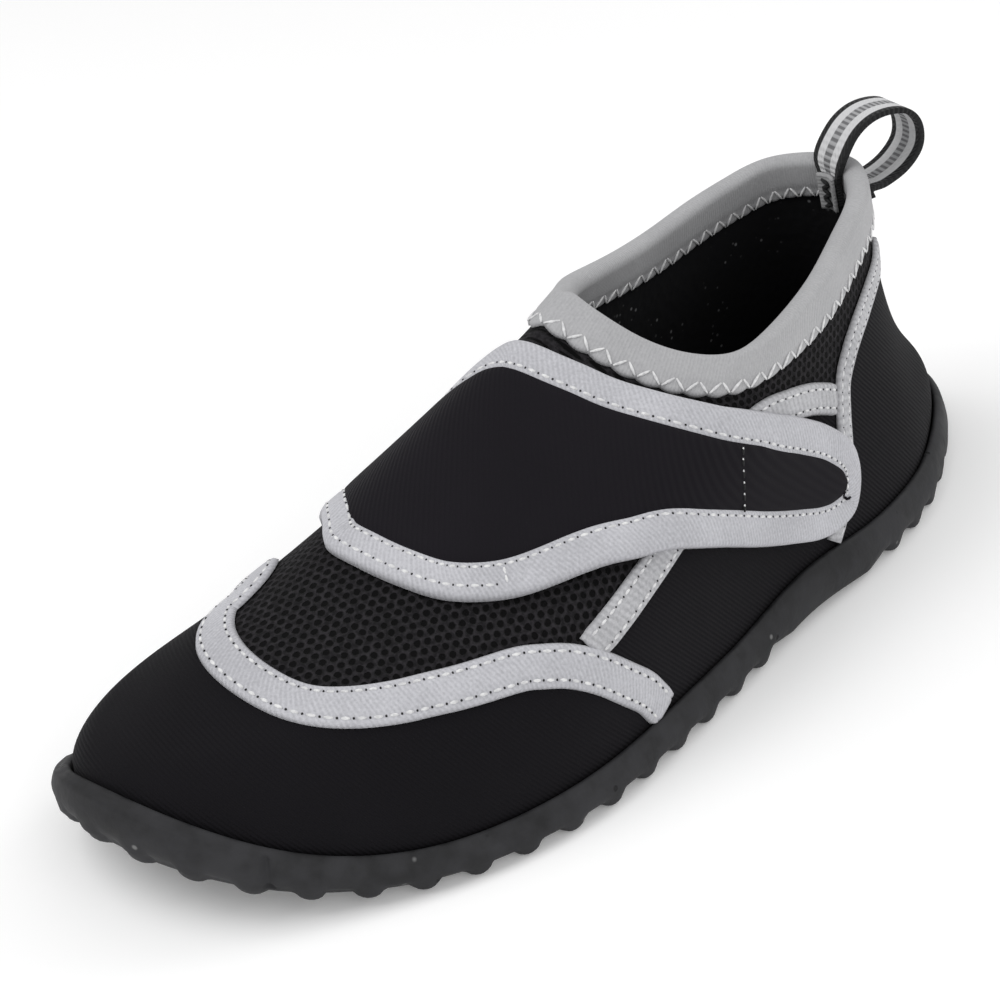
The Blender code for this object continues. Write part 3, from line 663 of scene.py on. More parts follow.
def strap_cloth():
    """The strap's face: the same ribbed knit, a little coarser and lighter."""
    made, tree, inputs = finish("strap_cloth", (0.011, 0.0095, 0.0125), 0.86, 0.03, 0.12)
    spot = node(tree, "TexCoord")["Object"]
    rib = bands(tree, spot, (0.9, 0.45, 0.5), 0.0010, 1.0)
    grain = noise(tree, spot, 2400.0)
    cloudy = noise(tree, spot, 30.0, 3.0)
    colour = blend(tree, cloudy, (0.0062, 0.0052, 0.0074), (0.0104, 0.0090, 0.0122))
    height = total(tree, scaled(tree, rib, 0.12), scaled(tree, grain, 0.12))
    dress(tree, inputs, colour, height, 0.0008, 0.7)
    return made


lining = lining_cloth()
strap_face = strap_cloth()
print("cloths:", lining.name, strap_face.name)

# %% [markdown]
# ### Tapes and binding
# The tapes are a light grey knit with ribs across them. The binding is plainer and softer.
# One recipe serves all four greys, because only its numbers differ. The ribs follow the
# tape round its bends, so they read the UV map, and the grain can stay in space.

# %% Tape finishes
def tape_cloth(name, dark, light, direction, pitch, rib_share):
    """A ribbed grey tape, between a dark and a light grey."""
    made, tree, inputs = finish(name, dark, 0.8, 0.1, 0.25)
    spot = node(tree, "TexCoord")["Object"]
    flat = node(tree, "UVMap", uv_map="cloth")["UV"]
    rib = bands(tree, flat, direction, pitch, 0.6)
    grain = noise(tree, spot, 1600.0, 3.0)
    cloudy = noise(tree, spot, 55.0)
    mixed = total(tree, scaled(tree, grain, 0.7), scaled(tree, cloudy, 0.5),
                  scaled(tree, rib, rib_share))
    colour = blend(tree, ramp(tree, mixed, 0.25, 0.95), dark, light)
    height = total(tree, scaled(tree, rib, 0.12), scaled(tree, grain, 0.25))
    dress(tree, inputs, colour, height, 0.0005, 0.6)
    return made


tape_grey = tape_cloth("tape_grey", (0.40, 0.40, 0.425), (0.60, 0.60, 0.635),
                       direction=(1, 0.55, 0), pitch=0.0010, rib_share=0.08)
heel_grey = tape_cloth("heel_tape_grey", (0.34, 0.34, 0.355), (0.58, 0.58, 0.60),
                       direction=(1, 0.2, 0), pitch=0.0016, rib_share=0.08)
binding_grey = tape_cloth("binding_grey", (0.37, 0.37, 0.38), (0.47, 0.47, 0.48),
                          direction=(1, 0, 0), pitch=0.0008, rib_share=0.05)
patch_grey = tape_cloth("patch_grey", (0.33, 0.33, 0.335), (0.44, 0.44, 0.445),
                        direction=(1, 0, 0), pitch=0.0010, rib_share=0.08)
print("tapes:", tape_grey.name, heel_grey.name, binding_grey.name, patch_grey.name)

# %% [markdown]
# ### Webbing and thread
# The loop's webbing has lengthwise stripes: ribbed grey in the middle, then white, then
# black edges. Three meshes could carry the three colours, but on one flat band the
# distance from its middle is enough to tell them apart.

# %% Webbing and thread finishes
def webbing_cloth():
    """The loop's webbing. Its stripes go by the distance from the band's middle."""
    made, tree, inputs = finish("webbing", (0.4, 0.4, 0.41), 0.8, 0.08, 0.25)
    flat = node(tree, "UVMap", uv_map="cloth")["UV"]
    parts = node(tree, "SeparateXYZ", {0: flat})
    middle = total(tree, parts["Y"], -LOOP_WIDTH / 2)
    side = node(tree, "Math", {0: middle}, operation="ABSOLUTE")["Value"]
    white = ramp(tree, side, 0.0013, 0.0016)
    black = ramp(tree, side, 0.0040, 0.0043)
    rows = bands(tree, flat, (1, 0, 0), 0.0012)
    twill = bands(tree, flat, (1, 1, 0), 0.0009)
    grey = blend(tree, ramp(tree, rows, -0.6, 0.6), (0.16, 0.16, 0.165), (0.40, 0.40, 0.41))
    colour = blend(tree, white, grey, (0.66, 0.66, 0.67))
    colour = blend(tree, black, colour, (0.012, 0.012, 0.013))
    height = total(tree, scaled(tree, rows, 0.3), scaled(tree, twill, 0.2))
    dress(tree, inputs, colour, height, 0.0004, 0.7)
    return made


def thread_cloth(name, dark, light, roughness):
    """Sewing thread, with painted shade: a little darker where its twist lies deeper."""
    made, tree, inputs = finish(name, light, roughness, 0.05, 0.3)
    spot = node(tree, "TexCoord")["Object"]
    twist = noise(tree, spot, 900.0)
    # Painted shade: the colour follows the bump's noise, darker where the thread sinks.
    colour = blend(tree, ramp(tree, twist, 0.3, 0.7), dark, light)
    dress(tree, inputs, colour, twist, 0.0002, 0.6)
    return made


webbing = webbing_cloth()
white_thread = thread_cloth("white_thread", (0.60, 0.60, 0.61), (0.82, 0.82, 0.82), 0.6)
# This black finish serves both the patch's real black thread and the painted shade in the needle
# holes.
black_thread_and_hole_shade = thread_cloth("black_thread_and_hole_shade", (0.006, 0.006, 0.006), (0.015, 0.015, 0.016), 0.7)
print("trims:", webbing.name, white_thread.name, black_thread_and_hole_shade.name)

# %% [markdown]
# ### Rubber
# The sole is matt dark grey rubber from a mould. It is mottled, with small pits, painted
# darker for the shade in them, and a few pale dots left by dust and by the cement along the
# joint. A Voronoi node splits the rubber into small cells, and each cell's colour decides by chance
# if it holds a dot.

# %% Sole finish
def sole_rubber():
    """The sole's rubber: mottled, with pale dots, or pits darkened as painted shade, in a few of
    its cells.
    """
    made, tree, inputs = finish("sole_rubber", (0.04, 0.04, 0.044), 0.68, 0.0, 0.22)
    spot = node(tree, "TexCoord")["Object"]
    mottle = noise(tree, spot, 220.0, 5.0)
    cloudy = noise(tree, spot, 45.0)
    cells = node(tree, "TexVoronoi", {"Vector": spot, "Scale": 330.0})
    chance = node(tree, "SeparateColor", {0: cells["Color"]})["Red"]
    dot = ramp(tree, cells["Distance"], 0.28, 0.12)
    pale = scaled(tree, dot, ramp(tree, chance, 0.955, 0.965))
    shaded_pit = scaled(tree, dot, ramp(tree, chance, 0.10, 0.08))
    both = total(tree, scaled(tree, mottle, 0.6), scaled(tree, cloudy, 0.5))
    base = ramp(tree, both, 0.35, 0.75)
    colour = blend(tree, base, (0.014, 0.014, 0.015), (0.036, 0.036, 0.039))
    colour = blend(tree, pale, colour, (0.17, 0.17, 0.17))
    # Painted shade: the pits are coloured darker as well as sunk by the bump.
    colour = blend(tree, shaded_pit, colour, (0.010, 0.010, 0.011))
    tree.links.new(ramp(tree, mottle, 0.3, 0.7, 0.55, 0.75), inputs["Roughness"])
    height = total(tree, scaled(tree, mottle, 0.7), scaled(tree, shaded_pit, -0.6))
    dress(tree, inputs, colour, height, 0.0008, 0.6)
    return made


rubber = sole_rubber()
print("sole:", rubber.name)

# %% [markdown]
# ## The upper
# One shell goes round the whole foot, with an outer face, a top edge hidden in the binding
# and an inner face. A sheet with a Solidify modifier would be quicker, but this grid gives
# the lining rows of its own: its columns run round the shoe, and its rows climb outside and
# come down inside. A bridge of faces closes the underside. First the cloth in front of the
# strap is laid flat: its girth is measured from the ridge, station by station.

# %% Girth of the last, for cloth that lies flat
def share_at_station(around, y):
    """How far up each rib crosses the station y, or nan where it doesn't."""
    foot = sole_plan(around, SOLE_WALL + CLEARANCE)[..., 1]
    top = COLLAR_ALONG(around) - LENGTH / 2
    inward = (y - foot) / (top - foot)
    inside = (inward >= 0) & (inward <= 1)
    inward = np.clip(inward, 0, 1)
    reach = RIB_REACH(around)
    shoulder = shoulder_share(reach)
    turn = np.arccos(np.clip(1 - inward / reach, 0, 1))
    up = np.where(inward < reach, turn / (pi / 2) * shoulder,
                  shoulder + (inward - reach) / (1 - reach) * (1 - shoulder))
    return np.where(inside, up, np.nan)


# The vamp's ridge, as an around share.
RIDGE = -0.01
stations = np.linspace(-0.132, 0.003, 70)
ribs = np.linspace(-0.33, 0.33, 661)
girth = np.zeros((len(stations), len(ribs)))
for row, y in enumerate(stations):
    up = share_at_station(ribs, y)
    real = np.isfinite(up)
    line = last_point(ribs[real], up[real])
    run = run_along(line)
    run -= np.interp(RIDGE, ribs[real], run)
    girth[row] = np.interp(ribs, ribs[real], run)


def signed_share(around):
    """The around share with the medial side below 0, from -0.5 to 0.5."""
    return (around + 0.5) % 1.0 - 0.5


def front_cloth(around, up):
    """Flat cloth coordinates in front of the strap: girth from the ridge, and the station."""
    y = last_point(around, up)[..., 1]
    row = (y - stations[0]) / (stations[1] - stations[0])
    column = (signed_share(around) - ribs[0]) / (ribs[1] - ribs[0])
    return np.stack([read_table(girth, row, column), y], -1)


print("girth at the ball", round(girth[40].max() - girth[40].min(), 4))

# %% [markdown]
# The mesh windows lie between the tapes. One reaches from the vamp tape to the strap. The
# others fill the sides below the collar, in front of the heel tapes. They could be panels
# of their own, but their borders are hidden under tape, so a yes or no at each point of
# one shell is enough.

# %% Where the mesh windows are
def line_up(line, around, low, high):
    """The upward share of a line over the last, read at around."""
    part = line[(line[:, 0] > low) & (line[:, 0] < high)]
    part = part[np.argsort(part[:, 0])]
    return np.interp(signed_share(around), part[:, 0], part[:, 1])


side_top = side_line[:, 1].argmax()
tip = strap_line[:, 0].argmax()
strap_front = strap_line[:tip]
strap_rear = strap_line[tip:]


def window_share(around, up):
    """1 in the mesh windows and 0 elsewhere, and if a place is behind the strap's middle."""
    signed = signed_share(around)
    in_front = line_up(strap_front, around, -0.27, 0.33)
    behind = line_up(strap_rear, around, -0.31, 0.33)
    vamp = line_up(vamp_line, around, -0.20, 0.24)
    side = np.interp(up, side_line[:side_top, 1], side_line[:side_top, 0])
    rear_side = line_up(side_line, around, 0.27, 0.33)
    heel = np.interp(up, heel_line[:, 1], heel_line[:, 0])
    front_window = (up > vamp) & (up < in_front + 0.03) & (signed < side) & (signed > -0.262)
    rear_window = (up > behind - 0.03) & (np.abs(signed) < heel)
    rear_window &= (signed < 0.25) | (up > rear_side)
    return np.where(front_window | rear_window, 1.0, 0.0), up > (in_front + behind) / 2


print("round end of the strap at", np.round(strap_line[tip], 3))

# %% [markdown]
# The shell gets two finishes: neoprene and mesh outside, and the lining inside.

# %% Upper shell
OUTER_ROWS = 96
INNER_ROWS = 26
MESH_SAG = 0.00025


def shell_shares(across):
    """Upward share and depth in the wall for a row, out, over the top and in."""
    turn = OUTER_ROWS / (OUTER_ROWS + INNER_ROWS)
    up = np.where(across < turn, across / turn, (1 - across) / (1 - turn))
    return np.clip(up, 0, 1), across > turn + 1e-6


def shell_place(along, across):
    """A place on the shell. The mesh lies a little lower than the neoprene beside it."""
    up, inside = shell_shares(across)
    depth = np.where(inside, -UPPER_WALL, 0.0)
    sag = np.where(inside, 0.0, MESH_SAG) * window_share(along, up)[0]
    return off_last(along, up, depth - sag)


shell = bent_grid(360, OUTER_ROWS + INNER_ROWS, shell_place, closed=True)
rim = [edge for edge in shell.edges if edge.is_boundary]
for vert in {vert for edge in rim for vert in edge.verts}:
    vert.co.z = float(ground_lift(np.array(vert.co.y))) + SOLE_FLOOR + CLEARANCE
bmesh.ops.bridge_loops(shell, edges=rim)
outwards(shell)
upper = piece("upper_shell", shell, neoprene, "neoprene", "upper")
print("shell wall", UPPER_WALL)

# %% [markdown]
# The window attribute and the cloth coordinates are written point by point. The faces'
# order has changed since the grid was made, but its UV map still holds each corner's
# shares. So they are read from there, and the map gets the flat cloth in their place.

# %% Cloth coordinates and window of the shell
mesh = upper.data
mesh.materials.append(lining)
uv = mesh.uv_layers["cloth"].data
flat = np.zeros(len(uv) * 2)
uv.foreach_get("uv", flat)
flat = flat.reshape(-1, 2)
up, inside = shell_shares(flat[:, 1])
window, behind_strap = window_share(flat[:, 0], up)
depth = np.linalg.norm(last_point(flat[:, 0], up) - last_point(flat[:, 0], 1.0), axis=-1)
rear = np.stack([last_point(flat[:, 0], up)[:, 1], depth], -1)
laid = np.where(behind_strap[:, None], rear, front_cloth(flat[:, 0], up))
corner = np.zeros(len(uv), dtype=int)
mesh.loops.foreach_get("vertex_index", corner)
shares = np.zeros(len(mesh.vertices))
shares[corner] = np.where(inside, 0.0, window)
mesh.attributes.new("window", "FLOAT", "POINT").data.foreach_set("value", shares)
for polygon in mesh.polygons:
    if inside[polygon.loop_start:polygon.loop_start + polygon.loop_total].any():
        polygon.material_index = 1
uv.foreach_set("uv", laid.ravel())
print("mesh share", round(float(shares.mean()), 2))

# %% [markdown]
# ## Tapes
# A seam tape is a narrow strip with rolled edges and a shallow valley under each row of
# stitches. A curve with a bevel object would twist on the bends, so a grid is bent over the
# last instead: its rows follow the tape's line, and a short curve gives its cross-section.

# %% Tape helpers
VALLEY_DEPTH = 0.00028
TAPE_SHEET = 0.0004
TAPE_LIFT = 0.0002
# Where the rows of stitches lie across each tape, from -1 to 1.
VAMP_SEAMS = (-0.62, 0.62)
SIDE_SEAMS = (-0.55, 0.55)
HEEL_SEAMS = (-0.5, 0.5)
STRAP_SEAM = 0.58


def tape_profile(place, valleys, depth):
    """Height share of a tape across its width, for places from -1 to 1."""
    high = np.sqrt(np.clip(1 - np.abs(place) ** 5, 0, 1))
    for valley in valleys:
        high -= depth * np.exp(-((place - valley) / 0.10) ** 2)
    return high


def laid_tape(name, line, sides, lift, thickness, valleys, cloth, slot, node_name, pitch=0.0012):
    """A tape along a line on the last, between two distances to the line's left."""
    run = path_length(line)
    count = max(8, int(run[-1] / pitch))
    path = read_path(line, np.linspace(0, run[-1], count + 1))
    side = sideways(path)

    def place(along, across):
        """A place on the tape: along its line, and across from its right edge to its left."""
        row = np.rint(along * count).astype(int)
        spread = 2 * across - 1
        shift = (sides[0] + sides[1]) / 2 + spread * (sides[1] - sides[0]) / 2
        around, up = move_on_last(path[row, 0], path[row, 1], side[row] * shift[:, None])
        profile = tape_profile(spread, valleys, VALLEY_DEPTH / thickness)
        high = lift(path[row, 0]) + thickness * profile
        return off_last(around, np.clip(up, TAPE_FOOT - 0.03, 1), high)

    bm = bent_grid(count, 16, place, (run[-1], abs(sides[1] - sides[0])))
    thicken(piece(name, bm, cloth, slot, node_name), TAPE_SHEET)


def on_upper(around):
    """The underside of a tape that lies on the upper."""
    return np.full(np.shape(around), TAPE_LIFT)


def tucked(around):
    """The side tape's underside: its two ends dive under the tapes that they meet."""
    dive = np.clip((0.1965 - around) / 0.005, 0, 1) + np.clip((around - 0.3375) / 0.002, 0, 1)
    return TAPE_LIFT - 0.0008 * dive


print("a tape's height across:", np.round(tape_profile(np.linspace(-1, 1, 5), (-0.6, 0.6), 0.3), 2))

# %% [markdown]
# The vamp tape crosses the toes from sole to sole, the side tape climbs the outer side and
# goes under the strap, and two narrow tapes edge the heel counter. The medial heel tape is
# the lateral one with its around shares below 0, which mirrors it on the last.

# %% Seam tapes
half = TAPE_WIDTH / 2
narrow = HEEL_TAPE_WIDTH / 2
laid_tape("vamp_seam_tape", vamp_line, (-half, half), on_upper, TAPE_THICKNESS + 0.0003,
          VAMP_SEAMS, tape_grey, "tape", "vamp_tape")
side_half = 0.8 * half
laid_tape("side_seam_tape", side_line, (-side_half, side_half), tucked, TAPE_THICKNESS + 0.0002,
          SIDE_SEAMS, heel_grey, "tape", "side_tape")
heel_mirror = heel_line * np.array([-1, 1])
for line, label in ((heel_line, "lateral"), (heel_mirror, "medial")):
    laid_tape("heel_seam_tape_" + label, line, (-narrow, narrow), on_upper,
              TAPE_THICKNESS + 0.0002, HEEL_SEAMS, heel_grey, "tape", "heel_tape_" + label)

# %% [markdown]
# ## The strap
# The strap is a neoprene panel whose edge is folded into a wide grey tape. The tape is
# laid first, on the same last but over the side tapes. Its width lies to the left of the
# strap's edge line, which is the panel's side.

# %% Strap tape
def edge_tape(around):
    """The underside of the strap's tape, a little lower than the panel's."""
    return over_tapes(around) - 0.0001


laid_tape("strap_edge_tape", strap_line, (0, STRAP_TAPE_WIDTH), edge_tape,
          STRAP_TAPE_THICKNESS, (STRAP_SEAM,), tape_grey, "strap_tape", "strap_binding")

# %% [markdown]
# The panel could be filled in from its outline, but then its faces would run anyhow. Here
# its rows run from the front edge to the rear edge, and they get shorter towards the round
# end. It reaches under the tape, as the real one does, and dips where it is hidden, so that
# it never shows through.

# %% Strap panel
PANEL_REACH = 0.78
END_TRIM = 0.0045
HIDDEN_DIP = 0.0007
DIP_WIDTH = 0.0016
PANEL_CROWN = 0.0002
run = path_length(strap_line)
end = run[tip]
strap_left = sideways(strap_line)


def under_tape(stops):
    """Shares of the panel's hidden edge, at distances along the strap's edge."""
    edge = read_path(strap_line, stops)
    left = read_along(stops, run, strap_left)
    return move_on_last(edge[:, 0], edge[:, 1], left * STRAP_TAPE_WIDTH * PANEL_REACH)


def panel_place(along, across):
    """A place on the strap: along to its round end, across from front to rear edge."""
    around_front, up_front = under_tape(along * (end - END_TRIM))
    around_rear, up_rear = under_tape(run[-1] - along * (run[-1] - end - END_TRIM))
    around = around_front + (around_rear - around_front) * across
    up = up_front + (up_rear - up_front) * across
    chord = last_point(around_front, up_front) - last_point(around_rear, up_rear)
    from_edge = np.minimum(across, 1 - across) * np.linalg.norm(chord, axis=-1)
    crown = PANEL_CROWN * np.sin(pi * across) - HIDDEN_DIP * np.exp(-(from_edge / DIP_WIDTH) ** 2)
    return off_last(around, np.clip(up, TAPE_FOOT, 1), over_tapes(around) + STRAP_THICKNESS + crown)


panel = bent_grid(150, 40, panel_place, (0.17, 0.045))
strap = piece("strap_panel", panel, strap_face, "strap_neoprene", "strap")
thicken(strap, 0.0016)

# %% [markdown]
# ## The collar binding
# A soft stretch tape is folded over the collar's edge. Its cross-section is a hairpin, and
# its lower edges are scalloped by the zigzag stitch that holds them. A swept profile can't
# keep both legs at an even depth below a collar that rises and falls. So the depth is
# measured down each rib once, kept in a table and read from there.

# %% Depths below the collar
ZIGZAG_PITCH = 0.0052
BINDING_SKIN = CLEARANCE + BINDING_THICKNESS
collar_ribs = np.linspace(0, 1, 721)
collar_line = last_point(collar_ribs, np.ones(721))
collar_run = run_along(collar_line)
ZIGZAGS = round(collar_run[-1] / ZIGZAG_PITCH)


def collar_around(share):
    """The around share at an even share of the collar's length."""
    return np.interp(np.asarray(share) % 1.0 * collar_run[-1], collar_run, collar_ribs)


depth_table = np.linspace(0, 0.014, 29)
depth_up = np.array([below_collar(around, depth_table) for around in collar_ribs[::6]])[:, 0]


def collar_up(around, depth):
    """The upward share at a depth below the collar, from the table."""
    row = (np.asarray(around) % 1.0) * (len(depth_up) - 1)
    return read_table(depth_up, row, np.asarray(depth) / depth_table[1])


print("collar length", round(collar_run[-1], 3), "with", ZIGZAGS, "zigzags")

# %% [markdown]
# Across the tape, the first leg climbs outside, the middle part turns over the edge, and
# the last leg comes down inside. Where the stitch pulls on it, each leg is pinched.

# %% Collar binding
FOLD_FROM = 0.38
FOLD_TO = 0.62
SCALLOP = 0.0007
PINCH_DEPTH = 0.0068


def binding_place(along, across):
    """A place on the binding: round the collar, and across from outside to inside."""
    around = collar_around(along)
    scallop = SCALLOP * np.abs(np.sin(pi * ZIGZAGS * along))
    reach = BINDING_DEPTH - 0.0004 + scallop
    outer = np.clip(1 - across / FOLD_FROM, 0, 1)
    inner = np.clip((across - FOLD_TO) / FOLD_FROM, 0, 1)
    depth = np.maximum(outer, inner) * reach
    edge = np.sqrt(np.clip(1 - np.maximum(outer, inner) ** 8, 0, 1))
    pinch = 0.25 * np.exp(-((depth - PINCH_DEPTH) / 0.0012) ** 2)
    high = TAPE_LIFT + (BINDING_SKIN - TAPE_LIFT) * (edge - pinch * edge)
    up = collar_up(around, depth)
    turn = np.clip((across - FOLD_FROM) / (FOLD_TO - FOLD_FROM), 0, 1) * pi
    leg = np.where((across < 0.5)[:, None], off_last(around, up, high),
                   off_last(around, up, -UPPER_WALL - high))
    top = last_point(around, np.ones(around.shape))
    rise = top - last_point(around, np.full(around.shape, 1 - FINE))
    rise /= np.linalg.norm(rise, axis=-1, keepdims=True)
    radius = UPPER_WALL / 2 + BINDING_SKIN
    out = last_normal(around, np.ones(around.shape))
    middle = top - out * (UPPER_WALL / 2)
    crown = middle + out * (radius * np.cos(turn))[:, None]
    crown = crown + rise * (0.75 * radius * np.sin(turn))[:, None]
    over = (across > FOLD_FROM) & (across < FOLD_TO)
    return np.where(over[:, None], crown, leg)


collar = bent_grid(ZIGZAGS * 10, 50, binding_place, (collar_run[-1], 0.024), closed=True)
binding = piece("collar_tape", outwards(collar), binding_grey, "binding", "collar_binding")
thicken(binding, 0.0003)

# %% [markdown]
# ## Stitches
# Every stitch is one small rounded grain of thread, pressed into the tape, and between two
# stitches a small near-black grain paints the shade in the needle holes. A row follows its
# tape at an even pitch. A bump pattern would look flat up close, and real grains of a few dozen
# faces cost little.

# %% Stitch helpers
THREAD_RADIUS = 0.00042


def grain(bm, start, stop, out, radius, finish_place=0):
    """One stitch: a sphere stretched between two points and flattened onto the cloth."""
    ahead = Vector(stop) - Vector(start)
    length = ahead.length
    ahead.normalize()
    across = Vector(out).cross(ahead).normalized()
    turn = Matrix((ahead, across, ahead.cross(across))).transposed().to_4x4()
    middle = (Vector(start) + Vector(stop)) / 2
    size = Matrix.Diagonal((length / 2, radius, radius * 0.8, 1))
    made = bmesh.ops.create_uvsphere(bm, u_segments=6, v_segments=5, radius=1,
                                     matrix=Matrix.Translation(middle) @ turn @ size)
    for face in {face for vert in made["verts"] for face in vert.link_faces}:
        face.material_index = finish_place


def sewn(name, bm, slot, thread):
    """Stitches as a piece, with the painted shade of the needle holes in its second finish."""
    made = piece(name, outwards(bm), thread, slot)
    made.data.materials.append(black_thread_and_hole_shade)


def spots_beside(path, shift, height):
    """Points beside a path on the last, at a height above it."""
    around, up = move_on_last(path[:, 0], path[:, 1], sideways(path) * shift)
    return off_last(around, up, height(path[:, 0]))


def sew(bm, line, since, until, shift, height, radius, finish_place):
    """Grains beside a line, from distances since to until, with none where it kinks."""
    starts = read_path(line, since)
    outs = last_normal(starts[:, 0], starts[:, 1])
    first = spots_beside(starts, shift, height)
    last = spots_beside(read_path(line, until), shift, height)
    for start, stop, out, length in zip(first, last, outs, until - since):
        if 0.3 < np.linalg.norm(stop - start) / length < 1.6:
            grain(bm, start, stop, out, radius, finish_place)


def stitch_row(name, slot, line, shift, height, pitch, radius=THREAD_RADIUS):
    """A row beside a line: stitches of two thirds of the pitch, and small dark grains between them
    that paint the shade of the needle holes.
    """
    bm = bmesh.new()
    stops = np.arange(pitch, path_length(line)[-1] - pitch / 2, pitch)
    # The second grains, in the black finish, paint the shade in the needle holes.
    for offset, part, wide, place in ((0, 0.33, radius, 0), (pitch / 2, 0.08, radius * 0.75, 1)):
        middles = stops + offset
        sew(bm, line, middles - part * pitch, middles + part * pitch, shift, height, wide, place)
    sewn(name, bm, slot, white_thread)


def above(lift, high):
    """A height: a tape's underside plus the height of its stitched valley."""
    return lambda around: lift(around) + high


print("stitch helpers ready")

# %% [markdown]
# The vamp and side tapes carry two rows each, and the narrow heel tapes two finer ones.

# %% Stitches of the seam tapes
for side, label in zip(VAMP_SEAMS, ("front", "rear")):
    stitch_row("vamp_stitches_" + label, "tape", vamp_line, side * half,
               above(on_upper, 0.00104), pitch=0.0031)
for side, label in zip(SIDE_SEAMS, ("rear", "front")):
    stitch_row("side_stitches_" + label, "tape", side_line, side * side_half,
               above(tucked, 0.00098), pitch=0.0030, radius=0.00036)
for line, place in ((heel_line, "lateral"), (heel_mirror, "medial")):
    for side, label in zip(HEEL_SEAMS, ("one", "two")):
        stitch_row("heel_stitches_" + place + "_" + label, "tape", line, side * narrow,
                   above(on_upper, 0.00094), pitch=0.0026, radius=0.00031)

# %% [markdown]
# The strap's tape has one row along its inner edge. The front of the strap is sewn down
# for good, so its tape has a second row there, which ends in a small tack.

# %% Stitches of the strap
strap_top = above(edge_tape, STRAP_TAPE_THICKNESS - 0.00032)
seam_shift = STRAP_TAPE_WIDTH * (1 + STRAP_SEAM) / 2
stitch_row("strap_stitches", "strap_tape", strap_line, seam_shift, strap_top, pitch=0.0030)
SEWN_UNTIL = 0.140
sewn_to = run[np.abs(strap_line[:tip, 0] - SEWN_UNTIL).argmin()]
sewn_line = read_path(strap_line, np.arange(0.004, sewn_to, 0.001))
strap_crest = above(edge_tape, STRAP_TAPE_THICKNESS - 0.00008)
stitch_row("strap_front_stitches", "strap_tape", sewn_line, STRAP_TAPE_WIDTH * 0.30,
           strap_crest, pitch=0.0032)
tack = bmesh.new()
tack_at = read_path(strap_line, sewn_to + np.array([-0.0008, 0.0, 0.0008]))
for near, far in ((0.30, 0.52), (0.52, 0.72)):
    start = spots_beside(tack_at, STRAP_TAPE_WIDTH * near, strap_crest)[1]
    stop = spots_beside(tack_at, STRAP_TAPE_WIDTH * far, strap_crest)[1]
    grain(tack, start, stop, last_normal(*tack_at[1]), 0.00034)
sewn("strap_tack", tack, "strap_tape", white_thread)

# %% [markdown]
# Zigzag stitches hold both lower edges of the binding, one row outside and one inside.

# %% Zigzag of the binding
ZIGZAG_TOP = 0.0056
ZIGZAG_FOOT = 0.0088
proud = BINDING_SKIN - 0.0002
corner_count = 2 * ZIGZAGS + 1
for label, sign, distance in (("outside", 1, proud), ("inside", -1, -UPPER_WALL - proud)):
    turns = collar_around(np.arange(corner_count) / (2 * ZIGZAGS))
    depths = np.where(np.arange(corner_count) % 2, ZIGZAG_TOP, ZIGZAG_FOOT)
    ups = collar_up(turns, depths)
    corners = off_last(turns, ups, np.full(turns.shape, distance))
    outs = last_normal(turns, ups) * sign
    zigzag = bmesh.new()
    for start, stop, out in zip(corners, corners[1:], outs):
        grain(zigzag, start, stop, out, 0.00036)
    sewn("binding_zigzag_" + label, zigzag, "binding", white_thread)

# %% [markdown]
# The hook and loop patch under the strap's end is sewn on by one upright row: dark grains
# of painted shade at the needle holes, with pale thread between them.

# %% Hook and loop seam
seam = smooth_path(((0.2645, 0.425), (0.262, 0.52), (0.259, 0.61), (0.256, 0.705)), 0.0005)
seam_stops = np.arange(0.0008, path_length(seam)[-1] - 0.002, 0.0024)
on_strap = above(over_tapes, STRAP_THICKNESS + 0.0002)
seam_thread = bmesh.new()
# The longer grains, in the black finish, paint the shade in the needle holes.
for offset, length, radius, place in ((0, 0.0016, 0.00034, 1), (0.0012, 0.0007, 0.00024, 0)):
    since = seam_stops + offset
    sew(seam_thread, seam, since, since + length, 0, on_strap, radius, place)
sewn("hook_seam_thread", seam_thread, "strap_neoprene", white_thread)

# %% [markdown]
# ## The pull loop
# A loop of webbing is sewn inside and outside the heel. It bows back over the collar. A
# small patch with a dark zigzag covers its inner end. A curve with a flat bevel would turn
# its width as it bends, so the band's rows are placed one by one, each straight across.

# %% Place of the loop
# The free part of the pull loop, in shares of how far it reaches back and rises.
LoopRow = namedtuple("LoopRow", "back high")
LOOP_ROWS = (
    LoopRow(-0.32, 0.18), LoopRow(-0.12, 0.67), LoopRow(0.14, 0.93), LoopRow(0.45, 1.00),
    LoopRow(0.76, 0.90), LoopRow(0.95, 0.58), LoopRow(0.96, 0.14), LoopRow(0.74, -0.22),
    LoopRow(0.40, -0.43),
)


def heel_spot(depth, distance, spread):
    """A point near the middle of the heel: below the collar, off the last, to one side."""
    up = below_collar(LOOP_PLACE, depth)[0]
    across = last_point(LOOP_PLACE - FINE, up) - last_point(LOOP_PLACE + FINE, up)
    across /= np.linalg.norm(across)
    around, up = move_on_last(np.array([LOOP_PLACE]), np.array([up]), across[None] * spread)
    return off_last(around, np.clip(up, 0, 1), np.array([distance]))[0]


loop_inside = -(UPPER_WALL + BINDING_SKIN + CLEARANCE + LOOP_THICKNESS / 2)
loop_outside = BINDING_SKIN + CLEARANCE + LOOP_THICKNESS / 2
loop_top = last_point(LOOP_PLACE, 1.0)
heel_across = last_point(LOOP_PLACE - FINE, 1.0) - last_point(LOOP_PLACE + FINE, 1.0)
heel_across /= np.linalg.norm(heel_across)
heel_back = last_normal(LOOP_PLACE, 1.0) * (1, 1, 0)
heel_back /= np.linalg.norm(heel_back)
print("the loop rises at", np.round(loop_top, 4))

# %% [markdown]
# Its rows of points lie across the webbing: three against the lining, then the free bow,
# and two on the outside of the heel. A soft curve through them gives the band its run.

# %% Run of the loop
spreads = np.linspace(-0.5, 0.5, 9) * LOOP_WIDTH


